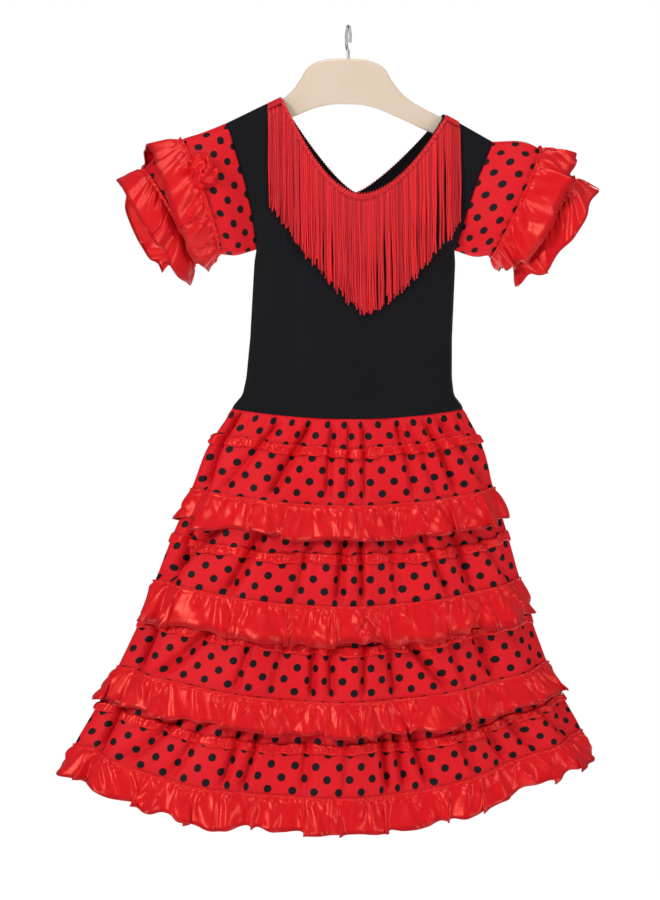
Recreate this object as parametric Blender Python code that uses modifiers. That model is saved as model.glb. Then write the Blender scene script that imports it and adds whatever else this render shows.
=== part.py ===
"""Child's flamenco dress on a hanger, each sewn piece a closed solid of its own.

The built model is in metres with +Z up. The origin is the inner top of the hanger's hook,
where a rail carries it. The front faces -Y and +X is the viewer's right.
Sizes are named in millimetres and become metres where a point is placed.
"""
import math
from collections import namedtuple

import bmesh
import bpy

MM = 0.001
TAU = 2 * math.pi

# Cloth and seams
SEAM_GAP = 0.3
KNIT_WALL = 1.2
COTTON_WALL = 1.0
SATIN_WALL = 1.0
FRINGE_WALL = 1.2

# How the dress hangs: drops are measured down from the level of the shoulder tips
SHOULDER_LEVEL = -105.0
DRESS_SHIFT = 13.5
DRESS_LEAN = 0.05

# Hanger, measured down from the hook's inner top
HANGER_SHIFT = -2.0
HANGER_THICKNESS = 8.0
HANGER_ROUNDING = 2.5
ARM_START = 64.0
ARM_START_DROP = 72.0
ARM_SLOPE = 0.5
ARM_TOP_POINTS = [68, 100, 126, 134]
# Right half of the outline in (across, drop): the crown, then the lower edge back to the middle
CROWN_POINTS = [(24, 33), (38, 40), (46, 52), (54, 63)]
LOWER_POINTS = [(143, 115), (138, 121), (86, 104), (54, 90), (23, 78.5)]
ARCH_DROP = 76.5
HOOK_WIRE = 3.0
HOOK_INNER_RADIUS = 10.5
HOOK_END_ANGLE = 205.0
CROWN_DROP = 31.0

# Bodice
NECK_HALF = 84.0
SHOULDER_HALF = 138.0
SHOULDER_LIFT = 4.0
ROOF_SLOPE = 1.12
SEAM_DEPTH = 0.75
UNDERARM_DROP = 117.0
UNDERARM_CLOSING = 45.0
ARMHOLE_DEPTH = 10.5
FRONT_NECK_DROP = 61.5
FRONT_NECK_POWER = 1.85
BACK_NECK_DROP = 59.0
BACK_NECK_POWER = 1.0

Outline = namedtuple("Outline", "drop half_width")
BODICE_SIDE = [
    Outline(-10, 138),
    Outline(18, 128.5),
    Outline(50, 117),
    Outline(80, 108.5),
    Outline(117, 100),
    Outline(130, 101.5),
    Outline(205, 102),
    Outline(245, 104),
    Outline(262, 107),
    Outline(274, 117),
    Outline(300, 117),
]
Bulge = namedtuple("Bulge", "drop half_depth")
BODICE_BULGE = [Bulge(-40, 8), Bulge(190, 28), Bulge(286, 34)]
# Top place and share of the waist's half width for each column from centre front to the side
Column = namedtuple("Column", "top_x waist_share")
BODICE_COLUMNS = [
    Column(0, 0),
    Column(20, 0.195),
    Column(40, 0.383),
    Column(58, 0.556),
    Column(72, 0.707),
    Column(81, 0.831),
    Column(NECK_HALF, 0.924),
    Column(110, 0.981),
    Column(SHOULDER_HALF, 1),
]
ARMHOLE_ROWS = 8
SIDE_SEAM_DROPS = [160, 205, 245]

# Skirt: one wall in four tiers, oval in plan, its sides lifted and its folds deeper towards the hem
Ring = namedtuple("Ring", "drop half_width half_depth side_lift fold")
SKIRT_RINGS = [
    Ring(286, 117, 34, 10, 0.4),
    Ring(326, 139, 43, 13, 1.2),
    Ring(374, 151, 52, 17, 2.0),
    Ring(415, 165, 58, 20, 2.4),
    Ring(473, 182, 64, 25, 2.8),
    Ring(518, 196, 68, 28, 3.2),
    Ring(567, 214, 72, 34, 3.6),
    Ring(610, 232, 76, 40, 4.0),
    Ring(660, 253, 82, 51, 4.5),
    Ring(694, 262, 86, 56, 4.5),
]
SIDE_LIFT_POWER = 2
SKIRT_FOLDS = 12
# Slow swells round the skirt that make its folds uneven
Swell = namedtuple("Swell", "waves height shift")
FOLD_SWELLS = [Swell(3, 0.35, 0.8), Swell(5, 0.2, 2.0)]
SKIRT_COLUMNS = 4 * SKIRT_FOLDS
Tier = namedtuple("Tier", "top middle bottom ribbon frill_waves frill_length")
TIERS = [
    Tier(286, 326, 374, 318, 24, 30),
    Tier(374, 415, 473, 425, 30, 35),
    Tier(473, 518, 567, 513, 34, 30),
    Tier(567, 610, 660, 611, 40, 31),
]
RIBBON_HEIGHT = 9.0
RIBBON_CLEARANCE = 0.6
FRILL_HEADER = 3.0
FRILL_HEADER_OUT = 2.8
FRILL_HEADER_WAVE = 0.3
FRILL_EDGE_OUT = 9.0
FRILL_WAVE = 4.0
FRILL_EDGE_UNEVEN = 2.0
WAVE_SWELLS = [Swell(5, 0.25, 1), Swell(11, 0.2, 2)]

# Sleeves: rings from the cap to the cuff, each given by its top, its low point and its depth
Station = namedtuple("Station", "top_x top_drop low_x low_drop half_depth")
SLEEVE_CAP = Station(162, 7, 121, 123, 29)
SLEEVE_GATHER = Station(184, 15, 139, 122, 33)
SLEEVE_BAND = Station(206, 31, 151, 128, 35)
SLEEVE_CUFF = Station(219, 45, 163, 133, 34)
UPPER_FRILL_EDGE = Station(211, 22, 156, 140, 43)
LOWER_FRILL_EDGE = Station(238, 58, 171, 152, 44)
SLEEVE_COLUMNS = 32
SLEEVE_WAVES = 9
SLEEVE_WAVE = 4.5
SLEEVE_SEAM_OUT = 0.7
SLEEVE_HEADER_OUT = 2.2
SLEEVE_EDGE_OUT = 1.0
LEFT_SLEEVE_RISE = 5.0

# Neck fringe
FRINGE_HALF = 97.0
FRINGE_CENTRE = 6.0
FRONT_STRANDS = 68
BACK_STRANDS = 56
BRAID_HEIGHT = 6.0
BRAID_OUT = 1.7
# The braid starts just below the neck edge, where the cloth is already some way out
BRAID_BELOW_EDGE = 1.0
BRAID_DEPTH_BELOW = 2.0
STRAND_TAPER = 0.5
FRINGE_TIP_DROP = 182.0
FRINGE_RISE = 40.0
FRINGE_RISE_AT = 46.0
FRINGE_RISE_POWER = 1.25
FRINGE_UNEVEN = 2.5

COLLECTION_NAME = "flamenco_dress_on_hanger"


def clear_scene():
    for item in list(bpy.data.objects):
        bpy.data.objects.remove(item, do_unlink=True)


def make_material(name, colour, roughness, metallic=0.0):
    """A plain Principled BSDF in the piece's own colour."""
    material = bpy.data.materials.new(name)
    material.use_nodes = True
    shader = material.node_tree.nodes["Principled BSDF"]
    shader.inputs["Base Color"].default_value = (*colour, 1)
    shader.inputs["Roughness"].default_value = roughness
    shader.inputs["Metallic"].default_value = metallic
    return material


def black_knit():
    return make_material("black stretch knit", (0.016, 0.015, 0.018), 0.85)


def dotted_cotton():
    return make_material("red dotted cloth", (0.68, 0.02, 0.03), 0.7)


def red_satin():
    return make_material("red satin", (0.75, 0.02, 0.03), 0.35)


def red_fringe():
    return make_material("red chainette fringe", (0.6, 0.01, 0.03), 0.5)


def cream_plastic():
    return make_material("cream moulded plastic", (0.75, 0.65, 0.54), 0.35)


def bright_wire():
    return make_material("bright steel wire", (0.7, 0.7, 0.7), 0.2, 1.0)


def read_table(table, drop):
    """Values of a table of rows at any drop, straight between its rows."""
    for upper, lower in zip(table, table[1:]):
        if drop <= lower.drop:
            break
    share = (drop - upper.drop) / (lower.drop - upper.drop)
    return type(upper)(*(high + (low - high) * share for high, low in zip(upper, lower)))


def mix(start, end, share):
    return start + (end - start) * share


def mix_points(start, end, share):
    return tuple(mix(a, b, share) for a, b in zip(start, end))


def dress_point(x, y, drop):
    """A place in the dress, in millimetres, as a point of the part in metres."""
    shifted = x + DRESS_SHIFT - DRESS_LEAN * drop
    return (shifted * MM, y * MM, (SHOULDER_LEVEL - drop) * MM)


def add_object(name, data, material, collection):
    data.materials.append(material)
    item = bpy.data.objects.new(name, data)
    collection.objects.link(item)
    return item


def thicken(item, wall):
    solidify = item.modifiers.new("cloth wall", "SOLIDIFY")
    solidify.thickness = wall * MM
    solidify.offset = 0
    return item


def sheet(name, rows, wall, material, collection, closed=True):
    """A cloth wall lofted through rows of points, closed into a tube or left open."""
    bm = bmesh.new()
    verts = [[bm.verts.new(dress_point(*point)) for point in row] for row in rows]
    for upper, lower in zip(verts, verts[1:]):
        count = len(upper)
        for i in range(count if closed else count - 1):
            j = (i + 1) % count
            bm.faces.new((upper[i], lower[i], lower[j], upper[j]))
    mesh = bpy.data.meshes.new(name)
    bm.to_mesh(mesh)
    bm.free()
    mesh.shade_smooth()
    return thicken(add_object(name, mesh, material, collection), wall)


def shoulder_line(x):
    """Drop of the shoulder seam at a place across the dress: it lies along the hanger's arm."""
    across = abs(x + DRESS_SHIFT - HANGER_SHIFT)
    arm_drop = ARM_START_DROP + ARM_SLOPE * (across - ARM_START)
    return arm_drop - SHOULDER_LIFT + SHOULDER_LEVEL


def bodice_depth(x, drop):
    """Half depth of the bodice wall at a place: an oval with a roof over the hanger's arms."""
    half_width = read_table(BODICE_SIDE, drop).half_width
    across = min(abs(x) / half_width, 1)
    open_share = min(max((UNDERARM_DROP - drop) / UNDERARM_CLOSING, 0), 1)
    edge = SEAM_DEPTH + ARMHOLE_DEPTH * math.sqrt(open_share)
    centre = read_table(BODICE_BULGE, drop).half_depth
    oval = edge + (centre - edge) * math.sqrt(1 - across ** 2)
    roof = SEAM_DEPTH + ROOF_SLOPE * max(drop - shoulder_line(x), 0)
    return min(oval, roof)


def neck_edge(x, neck_drop, power):
    """Drop of the neck edge, from the point of the V up to the shoulder seam."""
    seam_drop = shoulder_line(math.copysign(NECK_HALF, x))
    share = min(abs(x) / NECK_HALF, 1)
    return neck_drop - (neck_drop - seam_drop) * share ** power


def panel_top(x, neck_drop, power):
    if abs(x) < NECK_HALF:
        return neck_edge(x, neck_drop, power)
    return shoulder_line(x)


def waist_drop(share):
    waist = SKIRT_RINGS[0]
    return waist.drop - waist.side_lift * abs(share) ** SIDE_LIFT_POWER - SEAM_GAP


def armhole_drop(side, share):
    """Drop on the armhole at a share of the half turn from the shoulder tip to the underarm."""
    tip_drop = shoulder_line(side * SHOULDER_HALF)
    return mix(tip_drop, UNDERARM_DROP, (1 - math.cos(math.pi * share)) / 2)


def side_drops(side):
    """Rows along a panel's outer edge: the armhole, then the side seam to the waist."""
    armhole = [armhole_drop(side, row / ARMHOLE_ROWS) for row in range(ARMHOLE_ROWS + 1)]
    return armhole + SIDE_SEAM_DROPS + [waist_drop(1)]


def panel_column(column, side, facing, neck_drop, power):
    """One column of a bodice panel, from the neck edge or shoulder seam down to the waist."""
    top_x = side * column.top_x
    top = panel_top(top_x, neck_drop, power)
    bottom = waist_drop(column.waist_share)
    waist_half = SKIRT_RINGS[0].half_width
    drops = side_drops(side)
    points = []
    for outer_drop in drops:
        share = (outer_drop - drops[0]) / (drops[-1] - drops[0])
        drop = mix(top, bottom, share)
        straight = mix(column.top_x, column.waist_share * waist_half, share)
        outer_line = mix(SHOULDER_HALF, waist_half, share)
        outer = read_table(BODICE_SIDE, outer_drop).half_width
        pull = (column.top_x / SHOULDER_HALF) ** 2 * (1 - share) + column.waist_share ** 2 * share
        x = side * (straight + pull * (outer - outer_line))
        points.append((x, facing * bodice_depth(x, drop), drop))
    return points


def bodice_panel(name, facing, neck_drop, power, collection):
    """Front (facing -1) or back (facing +1) of the knit bodice."""
    left = [panel_column(c, -1, facing, neck_drop, power) for c in reversed(BODICE_COLUMNS)]
    right = [panel_column(c, 1, facing, neck_drop, power) for c in BODICE_COLUMNS[1:]]
    columns = left + right
    return sheet(name, columns, KNIT_WALL, black_knit(), collection, closed=False)


def strand_tip(x, index):
    """Drop where a strand ends, with a little unevenness from one to the next."""
    away = abs(x - FRINGE_CENTRE) / FRINGE_RISE_AT
    uneven = FRINGE_UNEVEN * math.sin(2.3 * index) * math.cos(0.7 * index)
    return FRINGE_TIP_DROP - FRINGE_RISE * away ** FRINGE_RISE_POWER + uneven


def stand_off(x, top, bottom):
    """How far a straight strand stands off so that it clears the bodice's bulge under it."""
    steps = 12
    first = bodice_depth(x, top)
    last = bodice_depth(x + DRESS_LEAN * (bottom - top), bottom)
    most = 0
    for step in range(steps + 1):
        share = step / steps
        drop = mix(top, bottom, share)
        under = bodice_depth(x + DRESS_LEAN * (drop - top), drop)
        most = max(most, under - mix(first, last, share))
    return most + BRAID_OUT


def neck_fringe(name, facing, neck_drop, power, strands, collection):
    """A braid strip along the neck edge, with a strand hanging from each stretch of it."""
    bm = bmesh.new()
    pitch = 2 * FRINGE_HALF / strands
    tops = []
    roots = []
    for index in range(strands + 1):
        x = -FRINGE_HALF + pitch * index
        top = panel_top(x, neck_drop, power) + BRAID_BELOW_EDGE
        root = top + BRAID_HEIGHT
        out = stand_off(x, root, strand_tip(x, 0))
        top_y = facing * (bodice_depth(x, top + BRAID_DEPTH_BELOW) + out)
        tops.append(bm.verts.new(dress_point(x, top_y, top)))
        root_y = facing * (bodice_depth(x, root) + out)
        roots.append(bm.verts.new(dress_point(x, root_y, root)))
    for index in range(strands):
        bm.faces.new((tops[index], roots[index], roots[index + 1], tops[index + 1]))
        middle = -FRINGE_HALF + pitch * (index + 0.5)
        root = panel_top(middle, neck_drop, power) + BRAID_BELOW_EDGE + BRAID_HEIGHT
        bottom = strand_tip(middle, index)
        out = stand_off(middle, root, bottom)
        tip_x = middle + DRESS_LEAN * (bottom - root)
        half = pitch * STRAND_TAPER / 2
        tip_y = facing * (bodice_depth(tip_x, bottom) + out)
        tips = [bm.verts.new(dress_point(tip_x + end, tip_y, bottom)) for end in (-half, half)]
        bm.faces.new((roots[index], tips[0], tips[1], roots[index + 1]))
    mesh = bpy.data.meshes.new(name)
    bm.to_mesh(mesh)
    bm.free()
    return thicken(add_object(name, mesh, red_fringe(), collection), FRINGE_WALL)


def fold_height(column):
    """Folds of uneven depth round the skirt, one crest in every four columns."""
    turn = TAU * column / SKIRT_COLUMNS
    uneven = sum(s.height * math.sin(s.waves * turn + s.shift) for s in FOLD_SWELLS)
    return math.cos(SKIRT_FOLDS * turn) * (1 + uneven)


def skirt_corner(column, drop, out):
    """A point of the skirt wall on one of its columns, moved out by a distance."""
    ring = read_table(SKIRT_RINGS, drop)
    turn = TAU * column / SKIRT_COLUMNS
    swell = ring.fold * fold_height(column) + out
    x = (ring.half_width + swell) * math.sin(turn)
    y = -(ring.half_depth + swell) * math.cos(turn)
    return x, y, drop - ring.side_lift * abs(math.sin(turn)) ** SIDE_LIFT_POWER


def skirt_surface(turn, drop, out):
    """A point of the skirt wall at any turn, on its facets, moved out by a distance."""
    place = turn / TAU * SKIRT_COLUMNS
    column = math.floor(place)
    start = skirt_corner(column, drop, out)
    end = skirt_corner(column + 1, drop, out)
    return mix_points(start, end, place - column)


def skirt_tier(name, tier, collection):
    """A dotted tier: a gathered tube from one seam to the next."""
    drops = [tier.top + SEAM_GAP / 2, tier.middle, tier.bottom - SEAM_GAP / 2]
    rows = [[skirt_corner(i, drop, 0) for i in range(SKIRT_COLUMNS)] for drop in drops]
    return sheet(name, rows, COTTON_WALL, dotted_cotton(), collection)


def skirt_ribbon(name, tier, collection):
    """A narrow satin ribbon sewn flat on the tier."""
    out = (COTTON_WALL + SATIN_WALL) / 2 + RIBBON_CLEARANCE
    drops = [tier.ribbon - RIBBON_HEIGHT / 2, tier.ribbon + RIBBON_HEIGHT / 2]
    rows = [[skirt_corner(i, drop, out) for i in range(SKIRT_COLUMNS)] for drop in drops]
    return sheet(name, rows, SATIN_WALL, red_satin(), collection)


def even_turns(drop, count):
    """Turns that share the skirt's oval into equal lengths, for waves of one width."""
    steps = 720
    ring = read_table(SKIRT_RINGS, drop)
    lengths = [0]
    for step in range(steps):
        turn = TAU * (step + 0.5) / steps
        length = math.hypot(ring.half_width * math.cos(turn), ring.half_depth * math.sin(turn))
        lengths.append(lengths[-1] + length)
    turns = []
    step = 0
    for index in range(count):
        target = lengths[-1] * index / count
        while lengths[step + 1] < target:
            step += 1
        part = (target - lengths[step]) / (lengths[step + 1] - lengths[step])
        turns.append(TAU * (step + part) / steps)
    return turns


def wave_height(index, turn, seed):
    """Ruffle waves, a crest in every four columns, of uneven height."""
    uneven = sum(s.height * math.sin(s.waves * turn + s.shift * seed) for s in WAVE_SWELLS)
    return math.cos(TAU * index / 4) * (1 + uneven)


def skirt_frill(name, tier, seed, collection):
    """A satin ruffle gathered onto the tier's lower edge and flaring over the next one."""
    turns = even_turns(tier.bottom, 4 * tier.frill_waves)
    header = []
    edge = []
    for index, turn in enumerate(turns):
        wave = wave_height(index, turn, seed)
        out = FRILL_HEADER_OUT + FRILL_HEADER_WAVE * wave
        header.append(skirt_surface(turn, tier.bottom - FRILL_HEADER, out))
        out = FRILL_EDGE_OUT + FRILL_WAVE * wave
        uneven = FRILL_EDGE_UNEVEN * math.sin(3 * turn + seed)
        drop = tier.bottom + tier.frill_length + uneven
        edge.append(skirt_surface(turn, drop, out))
    return sheet(name, [header, edge], SATIN_WALL, red_satin(), collection)


def armhole_ring(side, out):
    """Points round the armhole, from the shoulder tip by the front, moved along the sleeve."""
    points = []
    for index in range(SLEEVE_COLUMNS):
        turn = index / SLEEVE_COLUMNS
        share = 2 * turn if turn <= 0.5 else 2 * (1 - turn)
        drop = armhole_drop(side, share)
        x = side * (read_table(BODICE_SIDE, drop).half_width + out)
        facing = -1 if turn < 0.5 else 1
        depth = bodice_depth(side * read_table(BODICE_SIDE, drop).half_width, drop)
        if index in (0, SLEEVE_COLUMNS // 2):
            depth = 0
        points.append((x, facing * depth, drop))
    return points


def sleeve_point(station, side, turn, out):
    """A point on a sleeve ring, from its top by the front, moved out from the ring's middle."""
    rise = LEFT_SLEEVE_RISE if side < 0 else 0
    high = (station.top_x, station.top_drop - rise)
    low = (station.low_x, station.low_drop)
    half = math.dist(high, low) / 2
    along = math.cos(turn) * (half + out) / half
    x = (high[0] + low[0]) / 2 + (high[0] - low[0]) / 2 * along
    drop = (high[1] + low[1]) / 2 + (high[1] - low[1]) / 2 * along
    return side * x, -math.sin(turn) * (station.half_depth + out), drop


def sleeve_ring(station, side, count, out=0.0, wave=0.0, seed=0.0):
    points = []
    for index in range(count):
        turn = TAU * index / count
        height = out + wave * wave_height(index, turn, seed)
        points.append(sleeve_point(station, side, turn, height))
    return points


def sleeve(name, side, collection):
    """The dotted sleeve tube, from the armhole over the puff to the cuff."""
    rows = [armhole_ring(side, SLEEVE_SEAM_OUT)]
    for station in (SLEEVE_CAP, SLEEVE_GATHER, SLEEVE_BAND, SLEEVE_CUFF):
        rows.append(sleeve_ring(station, side, SLEEVE_COLUMNS))
    return sheet(name, rows, COTTON_WALL, dotted_cotton(), collection)


def sleeve_frill(name, side, header, edge, seed, collection):
    """A satin frill gathered onto the sleeve tube and flaring towards the cuff."""
    count = 4 * SLEEVE_WAVES
    rows = [
        sleeve_ring(header, side, count, SLEEVE_HEADER_OUT, FRILL_HEADER_WAVE, seed),
        sleeve_ring(edge, side, count, SLEEVE_EDGE_OUT, SLEEVE_WAVE, seed),
    ]
    return sheet(name, rows, SATIN_WALL, red_satin(), collection)


def hanger_body(collection):
    """The moulded hanger: a flat outline with rounded edges, its arms under the shoulders."""
    arm_top = [(x, ARM_START_DROP + ARM_SLOPE * (x - ARM_START)) for x in ARM_TOP_POINTS]
    half = CROWN_POINTS + arm_top + LOWER_POINTS
    other_half = [(-x, drop) for x, drop in reversed(half)]
    outline = [(0, CROWN_DROP)] + half + [(0, ARCH_DROP)] + other_half
    curve = bpy.data.curves.new("hanger_body", "CURVE")
    curve.dimensions = "2D"
    curve.fill_mode = "BOTH"
    curve.resolution_u = 3
    curve.bevel_depth = HANGER_ROUNDING * MM
    curve.bevel_resolution = 1
    curve.offset = -HANGER_ROUNDING * MM
    curve.extrude = (HANGER_THICKNESS / 2 - HANGER_ROUNDING) * MM
    spline = curve.splines.new("BEZIER")
    spline.bezier_points.add(len(outline) - 1)
    for point, (x, drop) in zip(spline.bezier_points, outline):
        point.co = ((x + HANGER_SHIFT) * MM, -drop * MM, 0)
        point.handle_left_type = "AUTO"
        point.handle_right_type = "AUTO"
    spline.use_cyclic_u = True
    item = add_object("hanger_body", curve, cream_plastic(), collection)
    item.rotation_euler = (math.pi / 2, 0, 0)
    weld = item.modifiers.new("closed caps", "WELD")
    weld.merge_threshold = 0.00005
    return item


def hanger_hook(collection):
    """The wire hook: a short stem, then most of a turn in the plane across the hanger."""
    radius = HOOK_INNER_RADIUS + HOOK_WIRE / 2
    stem_bottom = -CROWN_DROP + SEAM_GAP
    points = [(0, stem_bottom)]
    steps = 14
    for step in range(steps + 1):
        angle = math.radians(mix(-90, HOOK_END_ANGLE, step / steps))
        points.append((radius * math.cos(angle), -HOOK_INNER_RADIUS + radius * math.sin(angle)))
    curve = bpy.data.curves.new("hanger_hook", "CURVE")
    curve.dimensions = "3D"
    curve.bevel_depth = HOOK_WIRE / 2 * MM
    curve.bevel_resolution = 2
    curve.use_fill_caps = True
    spline = curve.splines.new("POLY")
    spline.points.add(len(points) - 1)
    for point, (y, z) in zip(spline.points, points):
        point.co = (0, y * MM, z * MM, 1)
    item = add_object("hanger_hook", curve, bright_wire(), collection)
    weld = item.modifiers.new("closed caps", "WELD")
    weld.merge_threshold = 0.00005
    return item


def build():
    clear_scene()
    collection = bpy.data.collections.new(COLLECTION_NAME)
    bpy.context.scene.collection.children.link(collection)
    hanger_body(collection)
    hanger_hook(collection)
    bodice_panel("bodice_front", -1, FRONT_NECK_DROP, FRONT_NECK_POWER, collection)
    bodice_panel("bodice_back", 1, BACK_NECK_DROP, BACK_NECK_POWER, collection)
    neck_fringe("neck_fringe_front", -1, FRONT_NECK_DROP, FRONT_NECK_POWER, FRONT_STRANDS, collection)
    neck_fringe("neck_fringe_back", 1, BACK_NECK_DROP, BACK_NECK_POWER, BACK_STRANDS, collection)
    for label, side in (("left", -1), ("right", 1)):
        base = "sleeve_" + label
        sleeve(base, side, collection)
        sleeve_frill(base + "_frill_upper", side, SLEEVE_GATHER, UPPER_FRILL_EDGE, side, collection)
        sleeve_frill(base + "_frill_lower", side, SLEEVE_CUFF, LOWER_FRILL_EDGE, side + 4, collection)
    for number, tier in enumerate(TIERS, 1):
        skirt_tier(f"skirt_tier_{number}", tier, collection)
        skirt_frill(f"skirt_frill_{number}", tier, number, collection)
        skirt_ribbon(f"skirt_ribbon_{number}", tier, collection)


build()
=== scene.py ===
# %% [markdown]
# # A child's flamenco dress on its hanger
#
# The real thing is a cheap and cheerful costume: a black knit bodice, a red skirt in four dotted
# tiers, satin ruffles, puff sleeves and a fringe of red cord round the neck. This lesson dresses a
# rigid model of it, the frame, with thin cloth. It goes through the dress as it was sewn: first
# the shapes that every panel shares, then the panels, then their trims, and last the finishes.
#
# The frame's pieces stay where they are. Each new piece takes the place of one of them, so its
# form starts from the same few sizes.

# %% Load the frame
import math

import bpy
import numpy as np
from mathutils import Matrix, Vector


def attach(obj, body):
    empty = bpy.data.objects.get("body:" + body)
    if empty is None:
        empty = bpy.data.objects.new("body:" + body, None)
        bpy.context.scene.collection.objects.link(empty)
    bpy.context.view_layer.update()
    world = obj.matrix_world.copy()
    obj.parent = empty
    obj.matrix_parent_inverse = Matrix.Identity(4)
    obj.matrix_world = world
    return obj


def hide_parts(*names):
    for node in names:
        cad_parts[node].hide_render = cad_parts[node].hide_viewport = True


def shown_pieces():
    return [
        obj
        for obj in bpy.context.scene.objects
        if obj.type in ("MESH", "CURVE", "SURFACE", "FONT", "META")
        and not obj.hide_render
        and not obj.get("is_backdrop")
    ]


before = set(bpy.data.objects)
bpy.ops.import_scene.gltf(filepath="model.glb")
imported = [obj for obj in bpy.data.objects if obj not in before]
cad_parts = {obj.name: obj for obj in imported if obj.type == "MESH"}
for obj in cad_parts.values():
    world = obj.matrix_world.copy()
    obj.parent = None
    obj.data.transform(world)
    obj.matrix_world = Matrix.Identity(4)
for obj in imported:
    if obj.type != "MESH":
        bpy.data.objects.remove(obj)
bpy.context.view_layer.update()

print("nodes in the frame:", len(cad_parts))

# %% [markdown]
# ## The camera
#
# The picture was taken with a long lens, a little from the viewer's left, with the camera level
# with the lower half of the bodice. A long lens keeps the far side of the skirt nearly as large as
# the near side. The picture is 660 by 900 pixels, and a pixel is a millimetre at the dress. The
# sensor's width is laid along the longer side, the height, so the lens follows from the distance.

# %% Camera
MM = 0.001
PICTURE_HEIGHT = 0.900
CAMERA_AIM = Vector((-0.0185, 0.0, -0.422))
CAMERA_DISTANCE = 4.0
CAMERA_AZIMUTH = math.radians(-9)
CAMERA_ELEVATION = math.radians(1.0)

away = Vector((
    math.sin(CAMERA_AZIMUTH) * math.cos(CAMERA_ELEVATION),
    -math.cos(CAMERA_AZIMUTH) * math.cos(CAMERA_ELEVATION),
    math.sin(CAMERA_ELEVATION),
))
camera_data = bpy.data.cameras.new("camera")
camera_data.lens = camera_data.sensor_width * CAMERA_DISTANCE / PICTURE_HEIGHT
camera = bpy.data.objects.new("camera", camera_data)
camera.location = CAMERA_AIM + away * CAMERA_DISTANCE
camera.rotation_euler = (-away).to_track_quat("-Z", "Y").to_euler()
bpy.context.scene.collection.objects.link(camera)
bpy.context.scene.camera = camera
print("lens in mm:", round(camera_data.lens))

# %% [markdown]
# ## The dress's own measurements
#
# A dressmaker measures a dress from its shoulders, not from the rail. So a place in the dress has
# three numbers in millimetres: across from the middle, depth (the front is negative) and drop
# below the shoulder tips. The dress hangs a little to one side, which is a small lean.

# %% From the dress's measurements to the room
SHOULDER_LEVEL = -105.0
DRESS_SHIFT = 13.5
DRESS_LEAN = 0.05


def in_room(points):
    """Points in the dress, in millimetres, as points of the frame in metres."""
    across, depth, drop = points[..., 0], points[..., 1], points[..., 2]
    shifted = across + DRESS_SHIFT - DRESS_LEAN * drop
    return np.stack((shifted, depth, SHOULDER_LEVEL - drop), axis=-1) * MM


def read(table, column, drop, soften=0.0):
    """A table's column at any drop, straight between its rows, its corners softened."""
    levels = table[:, 0]
    total = 0
    shifts = (-1, -0.5, 0, 0.5, 1)
    for shift in shifts:
        level = np.asarray(drop, float) + shift * soften
        row = np.clip(np.searchsorted(levels, level) - 1, 0, len(levels) - 2)
        share = (level - levels[row]) / (levels[row + 1] - levels[row])
        total = total + table[row, column] * (1 - share) + table[row + 1, column] * share
    return total / len(shifts)


def ease(value, start, end):
    """0 before start, 1 after end, and a soft step between them."""
    share = np.clip((np.asarray(value, float) - start) / (end - start), 0, 1)
    return share * share * (3 - 2 * share)


print("shoulder tips lie", -SHOULDER_LEVEL, "mm below the rail")

# %% [markdown]
# ## Cloth from a flat grid
#
# A panel of cloth is cut flat, so it starts as Blender's grid primitive. Each of the grid's
# points is then moved to its place on the dress. The grid keeps a UV map that says where each
# point was on the flat cut, in metres. The print and the weave follow that map, so the dots stay
# round on the cloth and narrow only where a fold turns them away, as they do in reality.
#
# A tube is a grid whose first and last columns meet. They are merged, and the seam stays in the
# UV map alone. Solidify then gives the sheet its thickness.

# %% Cloth helpers
def alone(item):
    """Select one object and make it the active one."""
    bpy.ops.object.select_all(action="DESELECT")
    item.select_set(True)
    bpy.context.view_layer.objects.active = item


def mend(merge_distance=0.0):
    """Merge the active mesh's doubled points, if asked, and turn its faces outwards."""
    bpy.ops.object.mode_set(mode="EDIT")
    bpy.ops.mesh.select_all(action="SELECT")
    if merge_distance:
        bpy.ops.mesh.remove_doubles(threshold=merge_distance)
    bpy.ops.mesh.normals_make_consistent(inside=False)
    bpy.ops.object.mode_set(mode="OBJECT")


def lengths_along(points, axis):
    """Distance walked along each row (axis 1) or column (axis 0) of points, from its start."""
    steps = np.linalg.norm(np.diff(points, axis=axis), axis=-1)
    start = np.zeros_like(np.take(steps, [0], axis=axis))
    return np.concatenate((start, np.cumsum(steps, axis=axis)), axis=axis)


def rolled_hem(points, outward, radius=0.7, steps=4):
    """Rows of points with a narrow hem rolled under the last row."""
    down = points[-1] - points[-2]
    down /= np.linalg.norm(down, axis=-1, keepdims=True)
    rows = [points]
    for step in range(1, steps + 1):
        angle = math.pi * 1.5 * step / steps
        row = points[-1] + radius * (math.sin(angle) * down - (1 - math.cos(angle)) * outward)
        rows.append(row[None])
    return np.concatenate(rows)


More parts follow.
